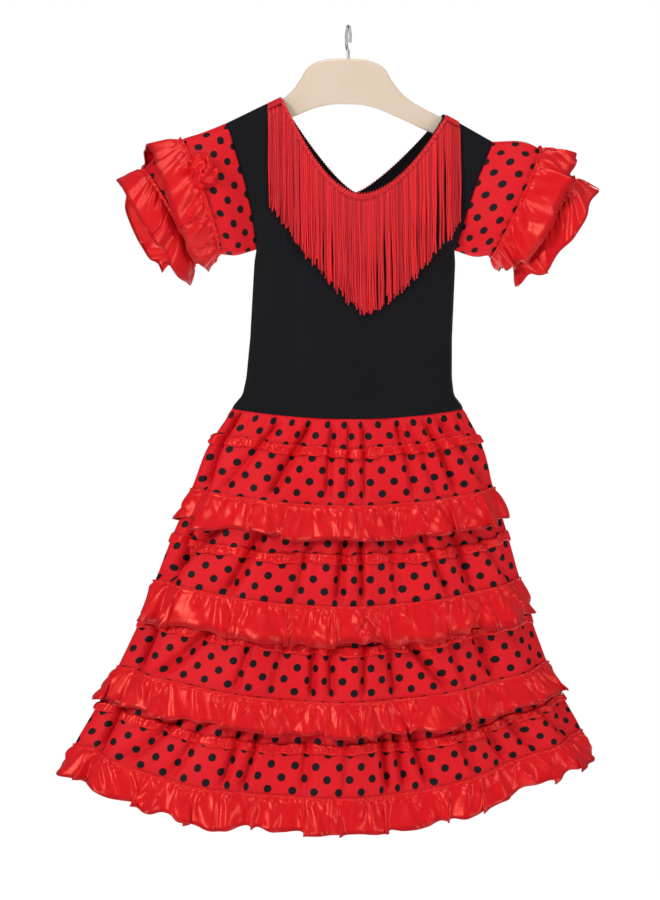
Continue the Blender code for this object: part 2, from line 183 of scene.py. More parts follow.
def cloth(name, points, wall, closed, hem_rows=0):
    """A thin cloth piece through rows of points (mm), with its flat cut as its UV map."""
    rows, columns = points.shape[:2]
    bpy.ops.object.select_all(action="DESELECT")
    bpy.ops.mesh.primitive_grid_add(x_subdivisions=columns - 1, y_subdivisions=rows - 1, size=1)
    item = bpy.context.object
    item.name = name
    mesh = item.data
    mesh.name = name
    mesh.vertices.foreach_set("co", in_room(points).ravel())
    across = lengths_along(points, 1)
    width = across[:, -1].mean()
    across = np.broadcast_to((across / across[:, -1:]).mean(axis=0) * width, across.shape)
    down = np.broadcast_to(lengths_along(points, 0).mean(axis=1)[:, None], across.shape)
    flat = np.stack((across, down), axis=-1).reshape(-1, 2) * MM
    corners = np.empty(len(mesh.loops), int)
    mesh.loops.foreach_get("vertex_index", corners)
    mesh.uv_layers[0].data.foreach_set("uv", flat[corners].ravel())
    # The last rows are marked as the hem, so that the satin can paint them darker as painted shade
    # along the edge
    hem = np.zeros((rows, columns))
    hem[rows - hem_rows:] = 1
    mesh.attributes.new("hem", "FLOAT", "POINT").data.foreach_set("value", hem.ravel())
    mend(0.00001 if closed else 0.0)
    solidify = item.modifiers.new("cloth wall", "SOLIDIFY")
    solidify.thickness = wall * MM
    solidify.offset = 0
    bpy.ops.object.modifier_apply(modifier=solidify.name)
    bpy.ops.object.transform_apply(location=True, rotation=True, scale=True)
    bpy.ops.object.shade_smooth()
    print(f"{name}: {len(mesh.polygons)} faces, cut {width:.0f} mm wide")
    return item


def tucks(along, down, around, spacing, depth, reach, width, spread, seed, leaning=0.22):
    """Soft uneven troughs that run down from a gathered edge, as a depth at each point."""
    rng = np.random.default_rng(seed)
    count = max(1, round(around / spacing))
    field = np.zeros(np.broadcast(along, down).shape)
    for number in range(count):
        place = (number + rng.uniform(-0.38, 0.38)) * around / count
        strong = depth * rng.uniform(0.35, 1.4)
        long = reach * rng.uniform(0.4, 1.7)
        lean = rng.uniform(-leaning, leaning)
        apart = (along - place - lean * down + around / 2) % around - around / 2
        wide = width * rng.uniform(0.7, 1.4) * (1 + spread * np.clip(down, 0, None) / long)
        field += strong * np.exp(-(apart / wide) ** 2 - (down / long) ** 2)
    return field


# %% [markdown]
# ## The skirt's wall
#
# All four tiers hang in one wall. In plan it is an oval, and each ring of the table gives the
# oval's size at one drop. The skirt's folds deepen towards the hem, and the hem rises at the
# sides. It also slants a little, lower on the left. Cloth that is gathered at a seam falls in sharp
# creases, so each tier has creases of its own, listed one by one across the front, with others like
# them round the back.

# %% The skirt's rings and creases
WAIST_DROP = 286
HEM_DROP = 694
WAIST_HALF = 117
WAIST_LIFT = 10
# drop, half width, half depth, lift at the sides, depth of the folds
SKIRT_RINGS = np.array([
    (WAIST_DROP, WAIST_HALF, 34, WAIST_LIFT, 0.4),
    (326, 139, 43, 13, 1.2),
    (374, 151, 52, 17, 2.0),
    (415, 165, 58, 20, 2.4),
    (473, 182, 64, 25, 2.8),
    (518, 196, 68, 28, 3.2),
    (567, 214, 72, 34, 3.6),
    (610, 232, 76, 40, 4.0),
    (660, 253, 82, 51, 4.5),
    (HEM_DROP, 262, 86, 56, 4.5),
], float)
SIDE_LIFT_POWER = 2
SKIRT_FOLDS = 12
RING_SOFTENING = 14

# top, bottom, ribbon, waves of its frill, length of its frill
TIERS = [
    (WAIST_DROP, 374, 318, 24, 30),
    (374, 473, 425, 30, 35),
    (473, 567, 513, 34, 30),
    (567, 660, 611, 40, 31),
]
# For each tier the front's main creases: across, lean, depth, width
FRONT_CREASES = [
    [(-102, -0.44, 4.0, 4), (-63, -0.34, 6.5, 5), (-23, 0, 4.5, 4), (-4, 0, 4.0, 3), (12, 0, 4.0, 3),
     (57, 0.1, 4.5, 4), (76, 0.2, 3.0, 4), (95, 0.25, 5.0, 4), (120, 0.4, 4.0, 5)],
    [(-146, -0.5, 5.0, 5), (-98, -0.32, 7.0, 6), (-45, -0.1, 3.5, 4), (-8, -0.05, 6.5, 5),
     (11, 0.05, 6.0, 4), (45, 0.1, 3.0, 4), (82, 0.3, 5.0, 4), (113, 0.2, 6.0, 5), (140, 0.4, 4.0, 5)],
    [(-147, -0.5, 6.0, 6), (-97, -0.1, 4.5, 4), (-66, -0.1, 3.5, 4), (-33, 0.05, 5.5, 4),
     (-15, 0.05, 5.5, 4), (17, 0, 5.0, 4), (45, 0.1, 4.5, 4), (72, 0.6, 6.0, 5), (106, 0.2, 3.5, 4),
     (139, 0.2, 6.0, 6)],
    [(-178, -0.5, 5.0, 6), (-147, -0.3, 4.5, 5), (-106, -0.1, 5.5, 4), (-88, -0.1, 5.5, 4),
     (-36, 0, 4.0, 5), (2, 0, 3.0, 4), (41, 0.1, 6.0, 4), (58, 0.1, 5.0, 4), (76, 0.2, 6.5, 5),
     (117, 0.2, 4.5, 5), (148, 0.3, 5.0, 5), (175, 0.3, 4.5, 5), (205, 0.4, 4.0, 5)],
]
CREASE_DEPTH = 1.7
SIDE_FOLD_TURN = math.radians(-73)
SIDE_FOLD_DEPTH = 15
SIDE_FOLD_WIDTH = 9
# The hem's slant: where it starts and is whole, how much lower on the left and higher on the right
SLANT_DROPS = (560, HEM_DROP)
SLANT_LOWER = 6
SLANT_HIGHER = 9


def fold_height(turn):
    """Broad folds round the skirt, of uneven depth."""
    uneven = 0.35 * np.sin(3 * turn + 0.8) + 0.2 * np.sin(5 * turn + 2.0)
    return np.cos(SKIRT_FOLDS * turn) * (1 + uneven)


def oval_lengths(drop, steps=2880):
    """Turns from the back's middle right round, and the distance walked to each."""
    turns = np.linspace(-math.pi, math.pi, steps + 1)
    x = read(SKIRT_RINGS, 1, drop) * np.sin(turns)
    y = read(SKIRT_RINGS, 2, drop) * np.cos(turns)
    walked = np.concatenate(([0], np.cumsum(np.hypot(np.diff(x), np.diff(y)))))
    return turns, walked


def even_turns(drop, columns):
    """Turns that share the oval at a drop into equal lengths."""
    turns, walked = oval_lengths(drop)
    return np.interp(np.linspace(0, walked[-1], columns + 1), walked, turns)


def side_fold(turn, drop):
    """Depth of the long fold down the left side, where the front turns to the back."""
    away = read(SKIRT_RINGS, 1, drop) * (turn - SIDE_FOLD_TURN)
    return SIDE_FOLD_DEPTH * np.exp(-(away / SIDE_FOLD_WIDTH) ** 2)


def creases(number, turn, drop):
    """Depth of a tier's creases at each point, nothing at its seams."""
    top, bottom = TIERS[number][:2]
    middle = (top + bottom) / 2
    half_width = read(SKIRT_RINGS, 1, middle)
    across = half_width * np.sin(turn)
    front = np.cos(turn) > 0
    field = np.zeros(np.broadcast(turn, drop).shape)
    for place, lean, depth, width in FRONT_CREASES[number]:
        apart = (across - place - lean * (drop - middle)) * front + 1000 * (1 - front)
        field += CREASE_DEPTH * depth * np.exp(-(apart / width) ** 2)
    turns, walked = oval_lengths(middle)
    along = np.interp(turn, turns, walked)
    behind = tucks(along, drop - top, walked[-1], 30, 4.5, 110, 4.5, 0.3, 40 + number)
    field += behind * ease(-np.cos(turn), -0.1, 0.25)
    field += tucks(along, drop - top, walked[-1], 12, 2.6, 34, 2.6, 0.7, 50 + number)
    field += side_fold(turn, middle)
    return field * ease(drop, top, top + 14) * (1 - ease(drop, bottom - 16, bottom))


def hem_slant(x, drop):
    """How much lower the skirt hangs on the viewer's left, and higher on the right."""
    left = SLANT_LOWER * np.exp(-((x + 165) / 60) ** 2)
    right = SLANT_HIGHER * ease(x, 60, 190)
    return ease(drop, *SLANT_DROPS) * (left - right)


def skirt_wall(turn, drop, out=0.0, inward=0.0):
    """Points of the skirt's wall, moved straight out by a distance."""
    half_width, half_depth, lift, fold = (
        read(SKIRT_RINGS, column, drop, RING_SOFTENING) for column in (1, 2, 3, 4)
    )
    swell = fold * fold_height(turn)
    square = np.hypot(half_depth * np.sin(turn), half_width * np.cos(turn))
    facing_x = half_depth * np.sin(turn) / square
    facing_y = -half_width * np.cos(turn) / square
    move = out - inward
    x = (half_width + swell) * np.sin(turn) + move * facing_x
    y = -(half_depth + swell) * np.cos(turn) + move * facing_y
    z = drop - lift * np.abs(np.sin(turn)) ** SIDE_LIFT_POWER + hem_slant(x, drop)
    return np.stack(np.broadcast_arrays(x, y, z), axis=-1)


print("hem's oval:", round(oval_lengths(HEM_DROP)[1][-1]), "mm round")

# %% [markdown]
# ## Tiers
#
# Each tier is one strip of printed cloth, gathered along its top edge and sewn to the tier above.
# Its grid is fine enough, 2 to 3.5 mm, for a crease to be a smooth trough.

# %% Tiers
TIER_COLUMNS = [330, 380, 440, 500]
TIER_ROWS = 30
COTTON_WALL = 0.6
SEAM_GAP = 0.3
# The first tier's seam allowance lies behind the knit
WAIST_TURNING = 5.0
# The lowest tier's seam allowance hangs behind the last ruffle
HEM_TURNING = 8.0
tier_pieces = []
for number, (top, bottom, ribbon, waves, frill_length) in enumerate(TIERS):
    turn = even_turns((top + bottom) / 2, TIER_COLUMNS[number])[None, :]
    hidden = WAIST_TURNING if number == 0 else -SEAM_GAP
    turned = HEM_TURNING if number == len(TIERS) - 1 else -SEAM_GAP
    drop = np.linspace(top - hidden, bottom + turned, TIER_ROWS)[:, None]
    behind = 1.4 * (1 - ease(drop, top - 1, top + 3)) * (number == 0)
    points = skirt_wall(turn, drop, inward=creases(number, turn, drop) + behind)
    tier_pieces.append(cloth(f"tier_cloth_{number + 1}", points, COTTON_WALL, closed=True))

# %% [markdown]
# ## Ruffles
#
# A ruffle is a long strip of satin, drawn up on a thread until it is only as long as the seam it
# trims. Just under the thread it has a small tuck every seven millimetres or so. Most of these
# fade out, and about every third runs on to the hem, which scallops it. Between them the satin
# swells out in smooth panels, and those are what catches the light. The panels do not hang
# straight: each tilts a little and laps over the next, a few of them by nearly a centimetre.
#
# The ruffle keeps between two limits at each height, close to the skirt and well out from it. The
# tucks say how near it is to either. So it never passes through the tier below.

# %% Ruffles
SATIN_WALL = 0.5
# Height of a ruffle above its thread
HEADER = 3.0
# Rows at a ruffle's edge that are painted a darker red, as painted shade along the hem
HEM_ROWS = 5
# Share of a panel that turns under the next one
FOLD_SHARE = 0.14
# spacing, depth, reach, width and spread of the tucks that fade out and of those half as long
SMALL_TUCKS = (7.0, 2.2, 12, 1.4, 1.1)
MEDIUM_TUCKS = (13.0, 1.7, 28, 1.9, 1.3)
# depth, reach, width and spread of the tucks that run on to the hem
LARGE_TUCKS = (2.2, 60, 3.0, 2.4)
SCALLOP = 6.0
RUFFLE_REACH = 13.5


def panels(along, around, pitch, rng):
    """Share of the way across a ruffle's panel, the share of its fold, its width and its number."""
    count = max(3, round(around / pitch))
    stops = np.sort((np.arange(count) + rng.uniform(-0.3, 0.3, count)) * around / count % around)
    index = np.searchsorted(stops, along % around) % count
    start = stops[index - 1]
    width = (stops[index] - start) % around
    share = ((along - start) % around) / width
    flat = np.clip(share / (1 - FOLD_SHARE), 0, 1)
    fold = ease(share, 1 - FOLD_SHARE, 1)
    return flat, fold, share * width, width, index, count


def across_panel(values, index, flat, fold, start_sign, end_sign):
    """A value that runs from one stop's to the next, then turns over in the fold."""
    start = start_sign * values[index - 1]
    end = end_sign * values[index]
    back = (start_sign - end_sign) * values[index]
    return start + (end - start) * ease(flat, -0.15, 1.15) + back * fold


def ruffle_shape(along, down, around, length, seed, spacing, reach_out, pitch=50.0, crumple=1.0):
    """How far out (mm), how far sideways and how much lower each point of a ruffle lies."""
    rng = np.random.default_rng(seed + 900)
    flat, fold, gap, width, index, count = panels(along, around, pitch, rng)
    laps = 1.2 + 8.5 * rng.random(count) ** 2
    tilts = laps * rng.uniform(0.3, 0.6, count)
    hang = np.clip(down / length, 0, 1)
    layer = 1 - 2 * ease(flat, 0, 1) + 2 * fold
    middle = ease(flat, 0.0, 0.12) * (1 - ease(flat, 0.88, 1.0))
    small = tucks(along, down, around, *SMALL_TUCKS, seed, 0.5)
    medium = tucks(along, down, around, *MEDIUM_TUCKS, seed + 300, 0.8)
    medium = medium * (0.3 + 0.7 * middle)
    large = tucks(along, down, around, spacing, *LARGE_TUCKS, seed + 500, 0.6)
    large = large * (0.25 + 0.75 * middle)
    open_share = np.exp(-crumple * (small + medium) - large)
    low = np.interp(down, [-HEADER, 0, 4, length], [1.3, 1.0, 1.8, 3.6])
    high = np.interp(down, [-HEADER, 0, 3, 9, length], [3.6, 1.6, 4.6, 7.2, reach_out])
    swell = np.sin(along / 9.5 + seed + 0.06 * down) * np.sin(along / 37 + 2 * seed)
    out = low + (high - low) * open_share + hang * (1.6 * layer + 1.6 * swell * middle)
    slack = 1.6 * np.sin(along / 61 + seed) + 1.0 * np.sin(along / 23 + 2 * seed)
    spread = width + (laps[index - 1] + laps[index]) / 2
    lapped = -laps[index - 1] / 2 + spread * flat - laps[index] * fold - gap
    sideways = hang ** 0.7 * lapped + hang * slack
    lower = across_panel(tilts, index, flat, fold, 0.5, -0.5) + np.sin(along / 47 + seed)
    lower = lower + 0.7 * np.sin(along / 13 + seed) + SCALLOP * hang * (np.exp(-large) - 0.6)
    lower = hang * lower
    return out, sideways, lower


FRILL_DOWN = np.array([-3, -2.2, -1.2, -0.4, 0.4, 1.4, 2.6, 4, 5.6, 7.6, 10, 12.8, 16, 19.4, 23, 26.6])
FRILL_COLUMNS = [560, 680, 780, 900]
frill_pieces = []
for number, (top, bottom, ribbon, waves, frill_length) in enumerate(TIERS):
    columns = FRILL_COLUMNS[number]
    turns, walked = oval_lengths(bottom)
    around = walked[-1]
    along = np.linspace(0, around, columns + 1)[None, :]
    down = np.append(FRILL_DOWN, frill_length)[:, None]
    out, sideways, lower = ruffle_shape(
        along, down, around, frill_length, 11 * (number + 1), around / waves, RUFFLE_REACH
    )
    turn = np.interp((along + sideways) % around, walked, turns)
    dip = 0.8 * side_fold(turn, bottom) * ease(down, 0, 0.4 * frill_length)
    points = skirt_wall(turn, bottom + down + lower, np.maximum(out - dip, 1.2))
    inner = skirt_wall(turn[-1:], bottom + down[-1:] + lower[-1:], out[-1:] - 1)
    outward = points[-1] - inner[0]
    points[:, -1] = points[:, 0]
    points = rolled_hem(points, outward)
    frill_pieces.append(cloth(f"ruffle_{number + 1}", points, SATIN_WALL, True, HEM_ROWS))

# %% [markdown]
# ## Ribbons
#
# About half way down each tier runs a narrow satin ribbon with a gathering thread along its middle. It
# is all small puckers, and it dips into the creases of the tier that it is sewn to.

# %% Ribbons
RIBBON_HEIGHT = 9.0
RIBBON_STEP = 1.15
ribbon_pieces = []
for number, (top, bottom, ribbon, waves, frill_length) in enumerate(TIERS):
    turns, walked = oval_lengths(ribbon)
    around = walked[-1]
    columns = round(around / RIBBON_STEP)
    along = np.linspace(0, around, columns + 1)[None, :]
    across = np.linspace(-0.5, 0.5, 8)[:, None]
    slant = across * RIBBON_HEIGHT
    deep = tucks(along, slant, around, 6.5, 1.5, 40, 1.15, 0, 70 + number, 0.5)
    fine = tucks(along, slant, around, 4.5, 0.8, 12, 0.9, 0, 80 + number, 0.5)
    rim = 1 - 0.55 * (2 * np.abs(across)) ** 3
    stitched = 1 - 0.35 * np.exp(-(across / 0.10) ** 2)
    puffy = 0.6 + 0.4 * np.sin(along / 19 + number) * np.sin(along / 7.3)
    out = 1.0 + 4.0 * puffy * rim * stitched * np.exp(-deep - fine)
    wander = 1.3 * np.sin(along / 37 + number) + 0.9 * np.sin(along / 11.3)
    ragged = 0.16 * np.sin(along / 3.1 + 3 * number) + 0.14 * np.sin(along / 8.7) * np.sin(along / 29)
    height = RIBBON_HEIGHT * (1.08 + ragged)
    turn = np.interp(along + 0 * across, walked, turns)
    drop = ribbon + across * height + wander
    points = skirt_wall(turn, drop, out, creases(number, turn, drop))
    points[:, -1] = points[:, 0]
    ribbon_pieces.append(cloth(f"ribbon_{number + 1}", points, SATIN_WALL, closed=True))

# %% [markdown]
# ## The bodice
#
# The bodice is two panels of black stretch knit. It is cut close, so it has no gathers, only a
# soft hollow here and there. At the top it lies like a small roof over the hanger's arms.

# %% The bodice's shape
HANGER_SHIFT = -2.0
ARM_START = 64.0
ARM_START_DROP = 72.0
ARM_SLOPE = 0.5
NECK_HALF = 84.0
SHOULDER_HALF = 138.0
SHOULDER_LIFT = 4.0
ROOF_SLOPE = 1.12
SEAM_DEPTH = 0.75
UNDERARM_DROP = 117.0
UNDERARM_CLOSING = 45.0
ARMHOLE_DEPTH = 10.5
FRONT_NECK = (61.5, 1.85)
BACK_NECK = (59.0, 1.3)
# drop, half width
BODICE_SIDE = np.array([
    (-10, 138), (18, 128.5), (50, 117), (80, 108.5), (117, 100), (130, 101.5),
    (205, 102), (245, 104), (262, 107), (274, 117), (300, 117),
], float)
# drop, half depth
BODICE_BULGE = np.array([(-40, 8), (190, 28), (286, 34)], float)
# place along the top, share of the waist's half width
BODICE_COLUMNS = np.array([
    (0, 0), (20, 0.195), (40, 0.383), (58, 0.556), (72, 0.707), (81, 0.831),
    (NECK_HALF, 0.924), (110, 0.981), (SHOULDER_HALF, 1),
])
ARMHOLE_ROWS = 8
SIDE_SEAM_DROPS = [160, 205, 245]


def shoulder_line(x):
    """Drop of the shoulder seam, which lies along the hanger's arm."""
    across = np.abs(x + DRESS_SHIFT - HANGER_SHIFT)
    return ARM_START_DROP + ARM_SLOPE * (across - ARM_START) - SHOULDER_LIFT + SHOULDER_LEVEL


def bodice_depth(x, drop):
    """Half depth of the bodice: an oval with a roof over the hanger's arms."""
    half_width = read(BODICE_SIDE, 1, drop)
    across = np.clip(np.abs(x) / half_width, 0, 1)
    open_share = np.clip((UNDERARM_DROP - drop) / UNDERARM_CLOSING, 0, 1)
    edge = SEAM_DEPTH + ARMHOLE_DEPTH * np.sqrt(open_share)
    centre = read(BODICE_BULGE, 1, drop)
    oval = edge + (centre - edge) * np.sqrt(1 - across ** 2)
    roof = SEAM_DEPTH + ROOF_SLOPE * np.clip(drop - shoulder_line(x), 0, None)
    softness = 1.5
    return -softness * np.log(np.exp(-oval / softness) + np.exp(-roof / softness))


def panel_top(x, neck):
    """Drop of a panel's top edge: the V of the neck, then the shoulder seam."""
    neck_drop, power = neck
    seam = shoulder_line(np.copysign(NECK_HALF, x))
    share = np.clip(np.abs(x) / NECK_HALF, 0, 1)
    in_neck = neck_drop - (neck_drop - seam) * share ** power
    return np.where(np.abs(x) < NECK_HALF, in_neck, shoulder_line(x))


def waist_drop(share):
    """Drop of the waist seam, by share of the way to the side."""
    return WAIST_DROP - WAIST_LIFT * np.abs(share) ** SIDE_LIFT_POWER - SEAM_GAP


def armhole_drop(side, share):
    """Drop on the armhole, from the shoulder tip (0) to the underarm (1)."""
    tip = shoulder_line(side * SHOULDER_HALF)
    return tip + (UNDERARM_DROP - tip) * (1 - np.cos(np.pi * share)) / 2


print("underarm to underarm:", 2 * read(BODICE_SIDE, 1, UNDERARM_DROP), "mm")

# %% [markdown]
# The knit's few hollows are named one by one: under the bust, where the cloth hangs free from the
# hanger's arm, and beside the waist, where the heavier skirt pulls it in.

# %% Bodice panels
KNIT_WALL = 0.8
# The panels close up along the side seams, below the arm
SEWN_DEPTH = 0.12
# place across, drop, half width, half height, depth of each hollow
HOLLOWS = [
    (-62, 130, 9, 70, 1.6), (58, 150, 8, 60, 1.4), (-30, 235, 26, 22, 1.2), (40, 240, 30, 16, 1.1),
    (-85, 225, 10, 40, 1.8), (84, 225, 9, 36, 1.8), (-104, 70, 5, 34, 2.2), (100, 72, 5, 30, 2.0),
    (0, 268, 60, 5, 0.8),
]


def bodice_points(facing, neck, columns=120, rows=90):
    """Rows of points of a bodice panel, from its neck and shoulders to its waist."""
    last_place = len(BODICE_COLUMNS) - 1
    place = np.linspace(-last_place, last_place, columns + 1)[None, :]
    index = np.arange(last_place + 1)
    top_x = np.interp(np.abs(place), index, BODICE_COLUMNS[:, 0])
    waist_share = np.interp(np.abs(place), index, BODICE_COLUMNS[:, 1])
    side = np.where(place < 0, -1, 1)
    last_level = ARMHOLE_ROWS + len(SIDE_SEAM_DROPS) + 1
    level = np.linspace(0, last_level, rows + 1)[:, None]
    tables = []
    for hand in (-1, 1):
        armhole = armhole_drop(hand, np.linspace(0, 1, ARMHOLE_ROWS + 1))
        tables.append(np.concatenate((armhole, SIDE_SEAM_DROPS, [waist_drop(1)])))
    outer_drop = np.where(
        side < 0,
        np.interp(level, np.arange(len(tables[0])), tables[0]),
        np.interp(level, np.arange(len(tables[1])), tables[1]),
    )
    first = np.where(side < 0, tables[0][0], tables[1][0])
    last = tables[0][-1]
    top = panel_top(side * top_x, neck)
    bottom = waist_drop(waist_share)
    share = (outer_drop - first) / (last - first)
    drop = top + (bottom - top) * share
    straight = top_x + (waist_share * WAIST_HALF - top_x) * share
    outer_line = SHOULDER_HALF + (WAIST_HALF - SHOULDER_HALF) * share
    outer = read(BODICE_SIDE, 1, outer_drop)
    pull = (top_x / SHOULDER_HALF) ** 2 * (1 - share) + waist_share ** 2 * share
    x = side * (straight + pull * (outer - outer_line))
    hollow = 0
    for across, height, half_width, half_height, depth in HOLLOWS:
        near = ((x * -facing - across) / half_width) ** 2 + ((drop - height) / half_height) ** 2
        hollow = hollow + depth * np.exp(-near)
    inside = ease(bodice_depth(x, drop), 4, 14)
    sewn = ease(drop, UNDERARM_DROP - 2, UNDERARM_DROP + 2)
    sewn = sewn * np.exp(-((outer - np.abs(x)) / 2) ** 2)
    y = facing * (bodice_depth(x, drop) * (1 - sewn) + SEWN_DEPTH * sewn - hollow * inside)
    return np.stack((x, y, drop), axis=-1)


bodice_front = cloth("bodice_front_knit", bodice_points(-1, FRONT_NECK), KNIT_WALL, closed=False)
bodice_back = cloth("bodice_back_knit", bodice_points(1, BACK_NECK), KNIT_WALL, closed=False)

# %% [markdown]
# ## The neck's fringe
#
# The trim is sold by the metre: a narrow braid from which soft cords hang, each a little
# chain of knitted thread. Its upper edge is a row of tiny loops. Here each cord is a thin tube
# that hangs straight down from the braid and lies on the bodice. The cords are not quite even:
# they lean into each other in locks, so the black knit shows between some of them.

# %% Cords and braid
FRINGE_HALF = 97.0
FRINGE_CENTRE = 6.0
BRAID_BELOW_EDGE = 1.0
CORD_BELOW_BRAID_TOP = 4.5
FRINGE_TIP_DROP = 182.0
# The tips rise by the first on their way to the second, both in millimetres
FRINGE_TIP_RISE = 40
FRINGE_TIP_SPREAD = 46
LOCK_WIDTH = 7.5
CORD_RADIUS = 0.76
LOOP_RADIUS = 0.62
BRAID_RADIUS = 0.95
# place across and width of the gaps where the cords part
PARTINGS = [(14, 1.1), (22, 1.5), (29, 1.2), (74, 1.5), (81, 1.2), (-31, 0.9)]
CORD_SIDES = 5
LOOP_SIDES = 4


def tube_mesh(name, lines, radius, sides):
    """Thin closed tubes along many lines of points (mm), joined as one piece."""
    lines = np.asarray(lines, float)
    count, length = lines.shape[:2]
    along = np.gradient(lines, axis=1)
    along /= np.linalg.norm(along, axis=-1, keepdims=True)
    across = np.cross(along, (0.0, 1.0, 0.0))
    weak = np.linalg.norm(across, axis=-1, keepdims=True) < 0.2
    across = np.where(weak, np.cross(along, (1.0, 0.0, 0.0)), across)
    across /= np.linalg.norm(across, axis=-1, keepdims=True)
    third = np.cross(along, across)
    angle = np.arange(sides) * 2 * math.pi / sides
    ring = np.cos(angle)[:, None] * across[:, :, None] + np.sin(angle)[:, None] * third[:, :, None]
    thick = np.broadcast_to(radius, (count, length))[:, :, None, None]
    places = lines[:, :, None] + ring * thick
    verts = in_room(places).reshape(-1, 3)
    first = (np.arange(count) * length * sides)[:, None, None]
    row = (np.arange(length - 1) * sides)[None, :, None]
    side = np.arange(sides)[None, None, :]
    after = (side + 1) % sides
    quads = np.stack((
        first + row + side,
        first + row + after,
        first + row + sides + after,
        first + row + sides + side,
    ), axis=-1).reshape(-1, 4)
    caps = []
    for number in range(count):
        start = number * length * sides
        end = start + (length - 1) * sides
        caps.append([start + s for s in reversed(range(sides))])
        caps.append([end + s for s in range(sides)])
    mesh = bpy.data.meshes.new(name)
    mesh.from_pydata(verts.tolist(), [], quads.tolist() + caps)
    walked = lengths_along(lines, 1)
    shade = np.random.default_rng(len(lines)).uniform(0, 1, count)
    flat = np.stack(np.broadcast_arrays(shade[:, None, None], walked[:, :, None] * MM), axis=-1)
    flat = np.broadcast_to(flat, (count, length, sides, 2)).reshape(-1, 2)
    corners = np.empty(len(mesh.loops), int)
    mesh.loops.foreach_get("vertex_index", corners)
    mesh.uv_layers.new(name="UVMap").data.foreach_set("uv", flat[corners].ravel())
    item = bpy.data.objects.new(name, mesh)
    bpy.context.scene.collection.objects.link(item)
    alone(item)
    mend()
    bpy.ops.object.shade_smooth()
    print(f"{name}: {count} lines, {len(mesh.polygons)} faces")
    return item


def fringe_lines(facing, neck, cords, seed, rings=15):
    """The cords' middle lines, each straight down from the braid."""
    rng = np.random.default_rng(seed)
    x = np.linspace(-FRINGE_HALF, FRINGE_HALF, cords)
    x = x + rng.uniform(-0.35, 0.35, cords) * (2 * FRINGE_HALF / cords)
    root = panel_top(x, neck) + BRAID_BELOW_EDGE + CORD_BELOW_BRAID_TOP
    away = np.abs(x - FRINGE_CENTRE) / FRINGE_TIP_SPREAD
    tip = FRINGE_TIP_DROP - FRINGE_TIP_RISE * away ** 1.25 + rng.normal(0, 3.0, cords)
    share = np.linspace(0, 1, rings)[None, :]
    drop = root[:, None] + (tip - root)[:, None] * share
    lock = np.round((x + rng.normal(0, 1.2, cords)) / LOCK_WIDTH) * LOCK_WIDTH
    lean = np.clip(lock - x, -1.2, 1.2) * rng.uniform(0.0, 0.6, cords)
    for place, width in PARTINGS:
        lean += width * np.sign(x - place) * np.exp(-((x - place) / 3.5) ** 2)
    wave = 0.5 * np.sin(share * 9 + rng.uniform(0, 6, cords)[:, None])
    across = x[:, None] + lean[:, None] * ease(share, 0, 0.7) + wave * share
    across = across + DRESS_LEAN * (drop - root[:, None])
    under = np.maximum.accumulate(bodice_depth(across, drop), axis=1)
    layer = rng.uniform(0, 2.4, cords)[:, None]
    depth = under + 1.5 + layer * (0.4 + 0.6 * share)
    return np.stack((across, facing * depth, drop), axis=-1)


def loop_line(facing, neck, pitch=3.0, radius=1.7, per_turn=9):
    """The braid's edge: one thread wound in small loops along the neck edge."""
    x = np.linspace(-FRINGE_HALF, FRINGE_HALF, 2000)
    edge = panel_top(x, neck) + BRAID_BELOW_EDGE
    walked = np.concatenate(([0], np.cumsum(np.hypot(np.diff(x), np.diff(edge)))))
    turns = walked[-1] / pitch
    steps = np.linspace(0, walked[-1], round(turns * per_turn))
    angle = steps / pitch * 2 * math.pi
    across = np.interp(steps, walked, x)
    drop = panel_top(across, neck) + BRAID_BELOW_EDGE
    depth = bodice_depth(across, drop + 2) + 1.2 + radius * np.cos(angle) * 0.7
    upright = radius * ease(NECK_HALF - 2 - np.abs(across), 0, 5)
    return np.stack((across, facing * depth, drop - upright * np.sin(angle)), axis=-1)[None]


# %% [markdown]
# The braid itself is four such threads side by side, each waving against the next, which is what
# a gimp braid looks like from a step away.

# %% Fringe pieces
def braid_lines(facing, neck, threads=4, points=420):
    """Threads of the braid below the loops."""
    x = np.linspace(-FRINGE_HALF, FRINGE_HALF, points)
    lines = []
    for thread in range(threads):
        drop = panel_top(x, neck) + BRAID_BELOW_EDGE + 0.9 + thread * 1.35
        drop = drop + 0.35 * np.sin(x * 2.1 + thread * 2)
        depth = bodice_depth(x, drop + 1) + 2.0 + 0.45 * np.cos(x * 2.1 + thread * 2)
        lines.append(np.stack((x, facing * depth, drop), axis=-1))
    return lines


def join(pieces, name):
    """Join pieces into the first and name it."""
    bpy.ops.object.select_all(action="DESELECT")
    for piece in pieces:
        piece.select_set(True)
    bpy.context.view_layer.objects.active = pieces[0]
    bpy.ops.object.join()
    pieces[0].name = name
    pieces[0].data.name = name
    return pieces[0]


def fringe(name, facing, neck, cords, seed):
    """Cords, loops and braid of one side's fringe, joined."""
    hanging = tube_mesh("cords", fringe_lines(facing, neck, cords, seed), CORD_RADIUS, CORD_SIDES)
    loops = tube_mesh("loops", loop_line(facing, neck), LOOP_RADIUS, LOOP_SIDES)
    braid = tube_mesh("braid", braid_lines(facing, neck), BRAID_RADIUS, CORD_SIDES)
    return join([hanging, loops, braid], name)


fringe_front = fringe("fringe_cords_front", -1, FRONT_NECK, 228, 5)
fringe_back = fringe("fringe_cords_back", 1, BACK_NECK, 150, 6)

# %% [markdown]
# ## Sleeves
#
# A sleeve is a short dotted tube. It starts at the armhole, puffs out, is gathered under the first
# frill and ends in a dotted band with the second frill on its edge. Rings along the tube give its
# shape: each has its top point, its low point and its depth from front to back. The rings are
# few, so the points between them follow a smooth curve through them.

